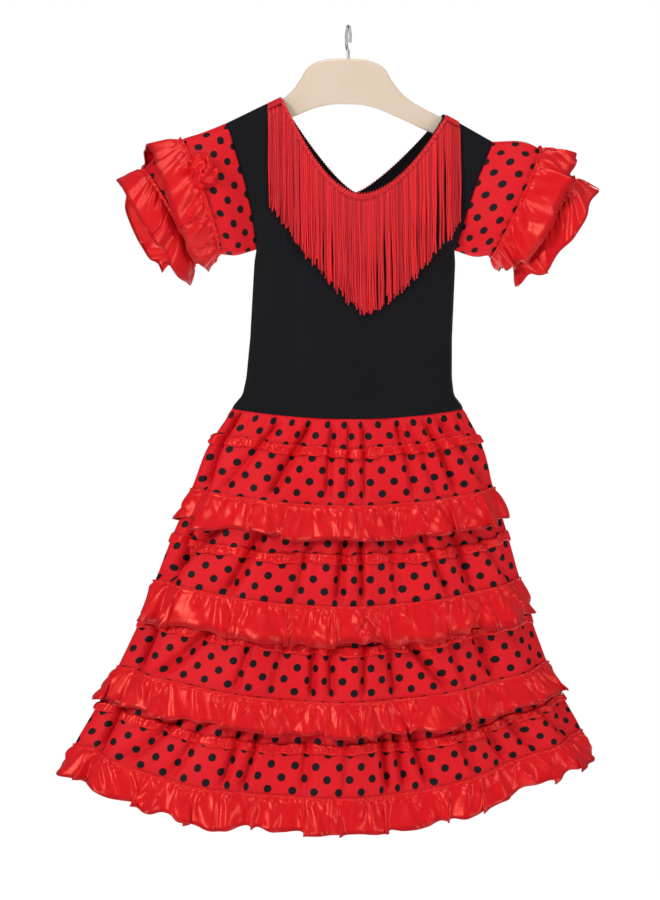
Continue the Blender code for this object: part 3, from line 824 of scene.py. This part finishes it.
# %% The sleeve's rings
# top across, top drop, low across, low drop, half depth
SLEEVE_CAP = (162, 7, 121, 123, 29)
SLEEVE_GATHER = (184, 15, 139, 122, 33)
SLEEVE_BAND = (206, 31, 151, 128, 35)
SLEEVE_CUFF = (219, 45, 163, 133, 34)
UPPER_FRILL_EDGE = (211, 22, 156, 140, 43)
LOWER_FRILL_EDGE = (238, 58, 171, 152, 44)
LEFT_SLEEVE_RISE = 5.0
SLEEVE_SEAM_OUT = 0.7


def armhole_ring(side, columns):
    """Points round the armhole, from the shoulder tip by the front."""
    turn = np.linspace(0, 1, columns + 1)
    share = 1 - np.abs(1 - 2 * turn)
    drop = armhole_drop(side, share)
    half_width = read(BODICE_SIDE, 1, drop)
    depth = bodice_depth(side * half_width, drop) * np.clip(np.sin(np.pi * share) * 6, 0, 1)
    facing = np.where(turn < 0.5, -1, 1)
    return np.stack((side * (half_width + SLEEVE_SEAM_OUT), facing * depth, drop), axis=-1)


def sleeve_ring(station, side, turn, out=0.0):
    """Points on a sleeve ring, from its top by the front, moved out from its middle."""
    top_x, top_drop, low_x, low_drop, half_depth = station
    top_drop = top_drop - (LEFT_SLEEVE_RISE if side < 0 else 0)
    half = math.hypot(top_x - low_x, top_drop - low_drop) / 2
    along = np.cos(turn) * (half + out) / half
    x = (top_x + low_x) / 2 + (top_x - low_x) / 2 * along
    drop = (top_drop + low_drop) / 2 + (top_drop - low_drop) / 2 * along
    return np.stack(np.broadcast_arrays(side * x, -np.sin(turn) * (half_depth + out), drop), axis=-1)


def through_rings(rings, rows):
    """Rows on a smooth curve through a few rings of points."""
    rings = np.asarray(rings)
    place = np.linspace(0, len(rings) - 1, rows)
    low = np.clip(place.astype(int), 0, len(rings) - 2)
    t = (place - low)[:, None, None]
    p0 = rings[np.clip(low - 1, 0, None)]
    p1 = rings[low]
    p2 = rings[low + 1]
    p3 = rings[np.clip(low + 2, None, len(rings) - 1)]
    return 0.5 * (
        2 * p1 + (p2 - p0) * t + (2 * p0 - 5 * p1 + 4 * p2 - p3) * t ** 2
        + (3 * p1 - p0 - 3 * p2 + p3) * t ** 3
    )


# %% [markdown]
# The tube's own gathers are small tucks at the armhole's top and on both sides of the first
# frill's seam. A tuck moves its points towards the tube's middle line.

# %% Sleeve tubes
SLEEVE_COLUMNS = 168
SLEEVE_ROWS = 46
SLEEVE_AROUND = 330.0
SLEEVE_LENGTH = 110
# Share of the tube's length where the first frill is sewn on
GATHER_SHARE = 0.5


def sleeve_tube(name, side, seed):
    """A sleeve's cloth, from the armhole to the cuff."""
    turn = np.linspace(0, 2 * math.pi, SLEEVE_COLUMNS + 1)
    rings = [armhole_ring(side, SLEEVE_COLUMNS)]
    for station in (SLEEVE_CAP, SLEEVE_GATHER, SLEEVE_BAND, SLEEVE_CUFF):
        rings.append(sleeve_ring(station, side, turn))
    points = through_rings(rings, SLEEVE_ROWS)
    around = SLEEVE_AROUND
    along = (turn / (2 * math.pi) * around)[None, :]
    share = np.linspace(0, 1, SLEEVE_ROWS)[:, None]
    from_top = share * SLEEVE_LENGTH
    from_seam = (share - GATHER_SHARE) * SLEEVE_LENGTH
    from_cuff = (1 - share) * SLEEVE_LENGTH
    depth = tucks(along, from_seam, around, 12, 2.2, 16, 2.6, 0.4, seed)
    depth += tucks(along, from_top, around, 26, 2.0, 26, 4.5, 0.6, seed + 1) * ease(share, 0, 0.12)
    depth += tucks(along, from_cuff, around, 16, 1.8, 14, 3.0, 0.4, seed + 2)
    middle = points.mean(axis=1, keepdims=True)
    inward = middle - points
    inward /= np.linalg.norm(inward, axis=-1, keepdims=True)
    points = points + inward * (depth * ease(share, 0, 0.06))[..., None]
    points[:, -1] = points[:, 0]
    return cloth(name, points, COTTON_WALL, closed=True)


sleeve_right = sleeve_tube("sleeve_cloth_right", 1, 21)
sleeve_left = sleeve_tube("sleeve_cloth_left", -1, 31)

# %% [markdown]
# The frills of a sleeve are made as the skirt's ruffles are, with their own seam and hem rings.

# %% Sleeve frills
SLEEVE_FRILL_COLUMNS = 400
# The frills narrow under the arm, where they are pressed against the bodice
UNDERARM_SHORTENING = 0.4


def sleeve_frill(name, side, seam, edge, length, seed, spacing, reach_out, pitch, crumple, bow):
    """A frill between its seam ring and its hem ring, whose hem bows out along the arm."""
    turn = np.linspace(0, 2 * math.pi, SLEEVE_FRILL_COLUMNS + 1)[None, :]
    around = float(lengths_along(sleeve_ring(seam, side, turn)[0][None], 1)[0, -1])
    along = turn / (2 * math.pi) * around
    down = np.append(FRILL_DOWN[FRILL_DOWN < length - 1.5], length)[:, None]
    out, sideways, lower = ruffle_shape(
        along, down, around, length, seed, spacing, reach_out, pitch, crumple
    )
    under = ease(-np.cos(turn), 0.55, 1.0)
    share = (down + lower * (down > 0)) / length * (1 - UNDERARM_SHORTENING * under)
    shifted = turn + sideways / around * 2 * math.pi
    at_seam = sleeve_ring(seam, side, shifted, out)
    at_edge = sleeve_ring(edge, side, shifted, out - reach_out * 0.45)
    axis = at_edge.mean(axis=(0, 1)) - at_seam.mean(axis=(0, 1))
    bowed = bow * np.abs(np.sin(shifted)) ** 1.3 * (1 + 0.35 * np.sin(2 * shifted + seed))
    at_edge = at_edge + bowed[..., None] * axis / np.linalg.norm(axis)
    points = at_seam + (at_edge - at_seam) * share[..., None]
    last = shifted[-1:]
    outward = sleeve_ring(edge, side, last, 1.0)[0] - sleeve_ring(edge, side, last)[0]
    points[:, -1] = points[:, 0]
    return cloth(name, rolled_hem(points, outward), SATIN_WALL, True, HEM_ROWS)


# spacing of the folds, how far they stand out, width of a panel, share of the small folds,
# and how far the hem bows out at the front and back
FRILL_HANGS = {
    ("right", "upper"): (24, 13, 62, 0.8, 9),
    ("right", "lower"): (32, 12, 80, 0.6, 6),
    ("left", "upper"): (44, 12, 110, 0.6, 8),
    ("left", "lower"): (90, 11, 170, 0.25, 5),
}
# seam, hem ring, length, and what is added to the sleeve's seed
FRILL_PLACES = {
    "upper": (SLEEVE_GATHER, UPPER_FRILL_EDGE, 28, 0),
    "lower": (SLEEVE_CUFF, LOWER_FRILL_EDGE, 26, 40),
}
SLEEVE_SIDES = {"right": (1, 7), "left": (-1, 9)}
sleeve_frills = {}
for (label, place), hang in FRILL_HANGS.items():
    side, seed = SLEEVE_SIDES[label]
    seam, edge, length, added = FRILL_PLACES[place]
    sleeve_frills[label, place] = sleeve_frill(
        f"sleeve_frill_{label}_{place}", side, seam, edge, length, seed + added, *hang
    )

# %% [markdown]
# On the left sleeve the first frill is caught up in a bunch at the front, like a small rosette.
# It is a round of satin, crumpled about its middle and sewn to that frill.

# %% The bunch on the left sleeve
BUNCH_PLACE = (-163.0, -38.0, 42.0)
BUNCH_RADIUS = 15.0


def bunch():
    """A crumpled round of satin, its folds turning as they run outwards."""
    angle = np.linspace(0, 2 * math.pi, 121)[None, :]
    radius = np.linspace(1.0, BUNCH_RADIUS, 26)[:, None]
    share = radius / BUNCH_RADIUS
    turned = angle + 0.10 * radius
    reach = radius * (1 + 0.16 * np.sin(3 * angle + 1) * share + 0.07 * np.sin(7 * turned) * share)
    height = 2.6 * np.sin(5 * turned) * share + 1.5 * np.sin(9 * turned + 2) * share ** 2
    height = height + 5.0 * (1 - share ** 2) + 1.6 * np.sin(radius / 1.6)
    x = BUNCH_PLACE[0] + reach * np.cos(angle)
    depth = BUNCH_PLACE[1] - height + 7 * share ** 3
    drop = BUNCH_PLACE[2] + 1.25 * reach * np.sin(angle)
    points = np.stack((x, depth, drop), axis=-1)
    points[:, -1] = points[:, 0]
    return cloth("bunch", points, SATIN_WALL, closed=True)


bunched = join([sleeve_frills["left", "upper"], bunch()], "sleeve_frill_left_upper")
print("faces with the bunch:", len(bunched.data.polygons))

# %% [markdown]
# ## The hanger
#
# The hanger is one moulding: a flat body with softly rounded edges and arms that fall away under
# the shoulders. A flat curve with a round bevel gives that shape. It is turned into a mesh, its
# caps are merged to its walls, and only the real edges are left sharp. The front stays plain.

# %% Hanger
HANGER_THICKNESS = 8.0
HANGER_ROUNDING = 2.8
ARM_TOP_POINTS = [68, 100, 126, 134]
CROWN_DROP = 31.0
ARCH_DROP = 76.5
# Right half of the outline in (across, drop): the crown, then the lower edge back to the middle
CROWN_POINTS = [(24, 33), (38, 40), (46, 52), (54, 63)]
LOWER_POINTS = [(143, 115), (138, 121), (86, 104), (54, 90), (23, 78.5)]


def hanger_outline():
    arm_top = [(x, ARM_START_DROP + ARM_SLOPE * (x - ARM_START)) for x in ARM_TOP_POINTS]
    half = CROWN_POINTS + arm_top + LOWER_POINTS
    return [(0, CROWN_DROP)] + half + [(0, ARCH_DROP)] + [(-x, drop) for x, drop in reversed(half)]


bpy.ops.object.select_all(action="DESELECT")
bpy.ops.curve.primitive_bezier_circle_add()
hanger = bpy.context.object
hanger.name = "hanger_moulding"
outline = hanger_outline()
hanger.data.splines.clear()
spline = hanger.data.splines.new("BEZIER")
spline.bezier_points.add(len(outline) - 1)
for point, (x, drop) in zip(spline.bezier_points, outline):
    point.co = ((x + HANGER_SHIFT) * MM, -drop * MM, 0)
    point.handle_left_type = "AUTO"
    point.handle_right_type = "AUTO"
spline.use_cyclic_u = True
hanger.data.dimensions = "2D"
hanger.data.fill_mode = "BOTH"
hanger.data.resolution_u = 10
hanger.data.bevel_depth = HANGER_ROUNDING * MM
hanger.data.bevel_resolution = 5
hanger.data.offset = -HANGER_ROUNDING * MM
hanger.data.extrude = (HANGER_THICKNESS / 2 - HANGER_ROUNDING) * MM
hanger.rotation_euler = (math.pi / 2, 0, 0)
bpy.ops.object.convert(target="MESH")
bpy.ops.object.transform_apply(location=True, rotation=True, scale=True)
mend(0.00002)
bpy.ops.object.shade_smooth_by_angle(angle=math.radians(40))
print("hanger faces:", len(hanger.data.polygons))

# %% [markdown]
# The hook is bent steel wire, seen edge-on in the picture. It is a curve with a round bevel. Its
# free end is closed by the bevel's own cap.

# %% Hook
HOOK_WIRE = 3.0
HOOK_INNER_RADIUS = 10.5
HOOK_END_ANGLE = 205.0
hook_radius = HOOK_INNER_RADIUS + HOOK_WIRE / 2
bpy.ops.object.select_all(action="DESELECT")
bpy.ops.curve.primitive_nurbs_path_add()
hook = bpy.context.object
hook.name = "hook_wire"
hook.data.splines.clear()
spline = hook.data.splines.new("POLY")
angles = np.radians(np.linspace(-90, HOOK_END_ANGLE, 56))
hook_points = [(0.0, -CROWN_DROP - 2)]
hook_points += [
    (hook_radius * math.cos(a), -HOOK_INNER_RADIUS + hook_radius * math.sin(a)) for a in angles
]
spline.points.add(len(hook_points) - 1)
for point, (y, z) in zip(spline.points, hook_points):
    point.co = (0, y * MM, z * MM, 1)
hook.data.bevel_depth = HOOK_WIRE / 2 * MM
hook.data.bevel_resolution = 6
hook.data.use_fill_caps = True
bpy.ops.object.convert(target="MESH")
mend(0.00002)
bpy.ops.object.transform_apply(location=True, rotation=True, scale=True)
bpy.ops.object.shade_smooth_by_angle(angle=math.radians(40))
print("hook faces:", len(hook.data.polygons))

# %% [markdown]
# ## Finishes
#
# Each finish starts from the real material. Colours are picked as they look on a screen, in sRGB,
# and one function turns them to the linear values that the renderer mixes.

# %% Material helpers
def linear(code):
    """An sRGB hex colour as a linear colour with alpha."""
    channels = [int(code[i:i + 2], 16) / 255 for i in (0, 2, 4)]
    mixed = [c / 12.92 if c <= 0.04045 else ((c + 0.055) / 1.055) ** 2.4 for c in channels]
    return (*mixed, 1.0)


def put(tree, kind, values=None, **settings):
    """Add a node, with its settings, and set or link its inputs."""
    node = tree.nodes.new("ShaderNode" + kind)
    for name, value in settings.items():
        setattr(node, name, value)
    for socket, value in (values or {}).items():
        if isinstance(value, bpy.types.NodeSocket):
            tree.links.new(value, node.inputs[socket])
        else:
            node.inputs[socket].default_value = value
    return node


def start_material(name):
    """An empty material and its node tree."""
    material = bpy.data.materials.new(name)
    material.use_nodes = True
    material.node_tree.nodes.clear()
    return material, material.node_tree


def end_material(material, shader):
    """The material, with the shader as its surface."""
    put(material.node_tree, "OutputMaterial", {"Surface": shader.outputs[0]})
    return material


def ribs(tree, vector, direction, pitch):
    """Even ribs across a UV map in metres, pitch millimetres apart."""
    # At scale 1 the wave texture repeats every 2 pi / 20
    scale = 2 * math.pi / 20 / (pitch * MM)
    return put(tree, "TexWave", {"Vector": vector, "Scale": scale, "Distortion": 0.0},
               bands_direction=direction, wave_profile="SIN").outputs["Fac"]


print("the satin's lighter red, linear:", [round(c, 3) for c in linear("DA1822")])

# %% [markdown]
# **Printed polyester.** The skirt and sleeves are a light plain-woven polyester, piece-dyed red
# and screen-printed with black dots of 7.6 mm. The dots sit on a square grid turned by 45
# degrees, 16.6 mm apart. Cloth like this has a faint sheen and a very fine weave. Its threads are
# too fine to show here, so they are drawn 1.4 mm apart and very shallow.

# %% Printed polyester
DOT_PITCH = 16.6
DOT_RADIUS = 3.85


def printed_polyester():
    material, tree = start_material("plain woven polyester, printed dots")
    uv = put(tree, "UVMap").outputs["UV"]
    turned = put(tree, "Mapping", {
        "Vector": uv,
        "Rotation": (0, 0, math.radians(45)),
        "Scale": (1 / (DOT_PITCH * MM),) * 3,
    }).outputs["Vector"]
    cell = put(tree, "VectorMath", {0: turned}, operation="FRACTION").outputs[0]
    centred = put(tree, "VectorMath", {0: cell, 1: (0.5, 0.5, 0.0)}, operation="SUBTRACT").outputs[0]
    flat = put(tree, "VectorMath", {0: centred, 1: (1, 1, 0)}, operation="MULTIPLY").outputs[0]
    distance = put(tree, "VectorMath", {0: flat}, operation="LENGTH").outputs["Value"]
    radius = DOT_RADIUS / DOT_PITCH
    dot = put(tree, "MapRange", {
        "Value": distance,
        "From Min": radius - 0.018,
        "From Max": radius + 0.018,
        "To Min": 1.0,
        "To Max": 0.0,
    }, interpolation_type="SMOOTHSTEP").outputs[0]
    cloudy = put(tree, "TexNoise", {"Vector": uv, "Scale": 28.0, "Detail": 3.0}).outputs["Fac"]
    ground = put(tree, "MixRGB", {
        "Fac": cloudy, "Color1": linear("CB111C"), "Color2": linear("DA1924"),
    }).outputs[0]
    colour = put(tree, "MixRGB", {"Fac": dot, "Color1": ground, "Color2": linear("141012")}).outputs[0]
    warp = ribs(tree, uv, "X", 1.4)
    weft = ribs(tree, uv, "Y", 1.4)
    weave = put(tree, "Math", {0: warp, 1: weft}, operation="ADD").outputs[0]
    bump = put(tree, "Bump", {"Height": weave, "Strength": 0.25, "Distance": 0.00012}).outputs[0]
    shader = put(tree, "BsdfPrincipled", {
        "Base Color": colour,
        "Roughness": 0.6,
        "Specular IOR Level": 0.13,
        "Sheen Weight": 0.015,
        "Sheen Roughness": 0.4,
        "Sheen Tint": linear("FF9A8C"),
        "Normal": bump,
    })
    return end_material(material, shader)


dotted_cloth = printed_polyester()
print("made", dotted_cloth.name)

# %% [markdown]
# ** Satin.** In satin the warp threads float over the cloth's face, so it is smooth one way and
# ribbed the other. The eye sees a deep red ground with pale streaks along each swell. A low
# roughness and some anisotropy along the strip give that. A fine uneven slub and soft creases in
# the bump keep it from looking like plastic. The creases also set the colour, as painted shade and
# painted highlight: a darker red in their hollows and a lighter red on their crests. The hem's
# rolled rows are painted a darker red, as painted shade along the edge.

# %% Satin
def polyester_satin():
    material, tree = start_material("polyester satin, warp-faced weave")
    uv = put(tree, "UVMap").outputs["UV"]
    stretched = put(tree, "Mapping", {"Vector": uv, "Scale": (200.0, 26.0, 1.0)}).outputs[0]
    slub = put(tree, "TexNoise", {"Vector": stretched, "Scale": 1.0, "Detail": 2.0,
                                  "Distortion": 0.4}).outputs["Fac"]
    creased = put(tree, "TexNoise", {"Vector": uv, "Scale": 70.0, "Detail": 3.0,
                                     "Roughness": 0.55}).outputs["Fac"]
    soft = put(tree, "Math", {0: creased, 1: 0.8}, operation="MULTIPLY").outputs[0]
    height = put(tree, "Math", {0: soft, 1: slub}, operation="ADD").outputs[0]
    bump = put(tree, "Bump", {"Height": height, "Strength": 0.45, "Distance": 0.0009}).outputs[0]
    rough = put(tree, "MapRange", {"Value": slub, "To Min": 0.28, "To Max": 0.36}).outputs[0]
    # Painted shade and painted highlight: the bump's crease noise also sets the colour, darker red in
    # its hollows and lighter red on its crests
    crease_shaded_red = put(tree, "MixRGB", {
        "Fac": creased, "Color1": linear("C80E19"), "Color2": linear("DA1822"),
    }).outputs[0]
    # Painted shade: the hem's rolled rows take a darker red
    hem = put(tree, "Attribute", attribute_name="hem").outputs["Fac"]
    colour = put(tree, "MixRGB", {"Fac": hem, "Color1": crease_shaded_red, "Color2": linear("A3121B")}).outputs[0]
    tangent = put(tree, "Tangent", direction_type="UV_MAP").outputs[0]
    shader = put(tree, "BsdfPrincipled", {
        "Base Color": colour,
        "Roughness": rough,
        "IOR": 1.55,
        "Specular IOR Level": 0.75,
        "Specular Tint": linear("FF7A66"),
        "Anisotropic": 0.45,
        "Tangent": tangent,
        "Sheen Weight": 0.04,
        "Sheen Tint": linear("FF8A80"),
        "Normal": bump,
    })
    return end_material(material, shader)


red_satin = polyester_satin()
print("made", red_satin.name)

# %% [markdown]
# **Knit.** The bodice is a black cotton and elastane jersey. It is close to matt, with a bluish
# bloom where the light grazes it. Its wales are drawn 1.6 mm apart so that they show.

# %% Knit
def cotton_jersey():
    material, tree = start_material("cotton jersey, fine rib")
    uv = put(tree, "UVMap").outputs["UV"]
    wales = ribs(tree, uv, "X", 1.6)
    courses = ribs(tree, uv, "Y", 1.2)
    loops = put(tree, "Math", {0: wales, 1: courses}, operation="MULTIPLY").outputs[0]
    bump = put(tree, "Bump", {"Height": loops, "Strength": 0.35, "Distance": 0.0002}).outputs[0]
    worn = put(tree, "TexNoise", {"Vector": uv, "Scale": 16.0, "Detail": 4.0}).outputs["Fac"]
    colour = put(tree, "MixRGB", {
        "Fac": worn, "Color1": linear("0C0C0F"), "Color2": linear("121216"),
    }).outputs[0]
    shader = put(tree, "BsdfPrincipled", {
        "Base Color": colour,
        "Roughness": 0.85,
        "Specular IOR Level": 0.14,
        "Sheen Weight": 0.03,
        "Sheen Roughness": 0.5,
        "Sheen Tint": linear("8A90A8"),
        "Normal": bump,
    })
    return end_material(material, shader)


black_knit = cotton_jersey()
print("made", black_knit.name)

# %% [markdown]
# **Cord.** The fringe is viscose chainette, shinier than cotton, and no two cords took the dye
# quite alike. Its knitted chain is a rib that runs round each cord every 2 mm.

# %% Fringe cord
def viscose_chainette():
    material, tree = start_material("viscose chainette cord")
    uv = put(tree, "UVMap").outputs["UV"]
    parts = put(tree, "SeparateXYZ", {"Vector": uv}).outputs
    chain = ribs(tree, uv, "Y", 2.0)
    bump = put(tree, "Bump", {"Height": chain, "Strength": 0.6, "Distance": 0.0003}).outputs[0]
    colour = put(tree, "MixRGB", {
        "Fac": parts["X"], "Color1": linear("A20B15"), "Color2": linear("E61924"),
    }).outputs[0]
    shader = put(tree, "BsdfPrincipled", {
        "Base Color": colour,
        "Roughness": 0.5,
        "Specular IOR Level": 0.35,
        "Sheen Weight": 0.05,
        "Sheen Tint": linear("FF7A70"),
        "Normal": bump,
    })
    return end_material(material, shader)


red_cord = viscose_chainette()
print("made", red_cord.name)

# %% [markdown]
# **Plastic and wire.** The hanger is polystyrene from a polished mould, cream and fairly glossy.
# The hook is nickel-plated steel wire, a little dulled by handling.

# %% Plastic and wire
def moulded_polystyrene():
    material, tree = start_material("polystyrene, polished mould")
    place = put(tree, "TexCoord").outputs["Object"]
    flow = put(tree, "TexNoise", {"Vector": place, "Scale": 22.0, "Detail": 2.0}).outputs["Fac"]
    colour = put(tree, "MixRGB", {
        "Fac": flow, "Color1": linear("D0BCA6"), "Color2": linear("D9C7B4"),
    }).outputs[0]
    peel = put(tree, "TexNoise", {"Vector": place, "Scale": 300.0}).outputs["Fac"]
    bump = put(tree, "Bump", {"Height": peel, "Strength": 0.15, "Distance": 0.0002}).outputs[0]
    shader = put(tree, "BsdfPrincipled", {
        "Base Color": colour,
        "Roughness": 0.28,
        "IOR": 1.59,
        "Subsurface Weight": 0.05,
        "Subsurface Scale": 0.004,
        "Normal": bump,
    })
    return end_material(material, shader)


def nickel_wire():
    material, tree = start_material("steel wire, nickel plated")
    place = put(tree, "TexCoord").outputs["Object"]
    drawn = put(tree, "TexNoise", {"Vector": place, "Scale": 500.0}).outputs["Fac"]
    rough = put(tree, "MapRange", {"Value": drawn, "To Min": 0.42, "To Max": 0.58}).outputs[0]
    shader = put(tree, "BsdfPrincipled", {
        "Base Color": linear("B9BABD"), "Metallic": 1.0, "Roughness": rough,
    })
    return end_material(material, shader)


cream_plastic = moulded_polystyrene()
bright_wire = nickel_wire()
print("made", cream_plastic.name, "and", bright_wire.name)

# %% [markdown]
# ## Dressing the frame
#
# Every piece now takes its finish, rides on the one body, and stands for a piece of the frame.

# %% Dress the frame
def dress(piece, material, node):
    """Give a piece its finish, hang it on the root body and hide the frame's node that it stands in
    for.
    """
    piece.data.materials.clear()
    piece.data.materials.append(material)
    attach(piece, "root")
    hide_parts(node)


dress(bodice_front, black_knit, "bodice_front")
dress(bodice_back, black_knit, "bodice_back")
dress(fringe_front, red_cord, "neck_fringe_front")
dress(fringe_back, red_cord, "neck_fringe_back")
dress(sleeve_left, dotted_cloth, "sleeve_left")
dress(sleeve_right, dotted_cloth, "sleeve_right")
for (label, place), piece in sleeve_frills.items():
    dress(piece, red_satin, f"sleeve_{label}_frill_{place}")
for number in range(len(TIERS)):
    dress(tier_pieces[number], dotted_cloth, f"skirt_tier_{number + 1}")
    dress(frill_pieces[number], red_satin, f"skirt_frill_{number + 1}")
    dress(ribbon_pieces[number], red_satin, f"skirt_ribbon_{number + 1}")
dress(hanger, cream_plastic, "hanger_body")
dress(hook, bright_wire, "hanger_hook")

# %% [markdown]
# ## The cuts
#
# Each sheet of cloth printed the width that it was cut to when it was made. A gathered piece was
# cut longer than the seam it is sewn into.

print("cloth sheets made")

# %% [markdown]
# ## Floor, air and light
#
# The dress hangs in a white studio. The floor is pale and well below the hem, and it glows faintly
# so that it runs into the white behind it. Two large soft lights stand left and right in front, a
# third hangs above and a fourth stands behind. They are wide, so the shadows are soft, but each is
# bright enough to draw a streak on the satin.

# %% Studio
bpy.ops.object.select_all(action="DESELECT")
bpy.ops.mesh.primitive_plane_add(size=7, location=(0, 0, -1.30))
floor = bpy.context.object
floor.name = "floor"
floor_material, floor_tree = start_material("pale floor")
floor_shader = put(floor_tree, "BsdfPrincipled", {
    "Base Color": linear("F6F6F6"),
    "Roughness": 0.8,
    "Emission Color": linear("FFFFFF"),
    "Emission Strength": 0.84,
})
floor.data.materials.append(end_material(floor_material, floor_shader))
floor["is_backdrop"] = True

# The air is plain white to the eye and lights the dress about a seventh as much
AIR_LIGHT = 0.15
world = bpy.data.worlds.new("studio")
bpy.context.scene.world = world
world.use_nodes = True
world.node_tree.nodes["Background"].inputs["Color"].default_value = (1, 1, 1, 1)
seen = put(world.node_tree, "LightPath").outputs["Is Camera Ray"]
brightness = put(world.node_tree, "MapRange", {"Value": seen, "To Min": AIR_LIGHT, "To Max": 1.0})
world.node_tree.links.new(
    brightness.outputs[0], world.node_tree.nodes["Background"].inputs["Strength"]
)
bpy.context.scene.view_settings.view_transform = "Standard"


def soft_light(name, place, size, power):
    """A square area light that faces the dress."""
    data = bpy.data.lights.new(name, "AREA")
    data.shape = "SQUARE"
    data.size = size
    data.energy = power
    light = bpy.data.objects.new(name, data)
    light.location = place
    light.rotation_euler = (Vector(place) - CAMERA_AIM).to_track_quat("Z", "Y").to_euler()
    bpy.context.scene.collection.objects.link(light)


soft_light("left softbox", (-2.0, -1.7, 0.7), 0.7, 42)
soft_light("right softbox", (2.2, -1.6, 0.2), 0.6, 16)
soft_light("top softbox", (0.2, -0.7, 1.6), 1.1, 20)
soft_light("back softbox", (0.8, 2.3, 0.7), 1.0, 20)
print("lights placed")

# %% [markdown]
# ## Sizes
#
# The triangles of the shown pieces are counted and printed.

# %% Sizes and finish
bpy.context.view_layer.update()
faces = sum(len(p.vertices) - 2 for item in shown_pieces() for p in item.data.polygons)
print("triangles in all:", faces)
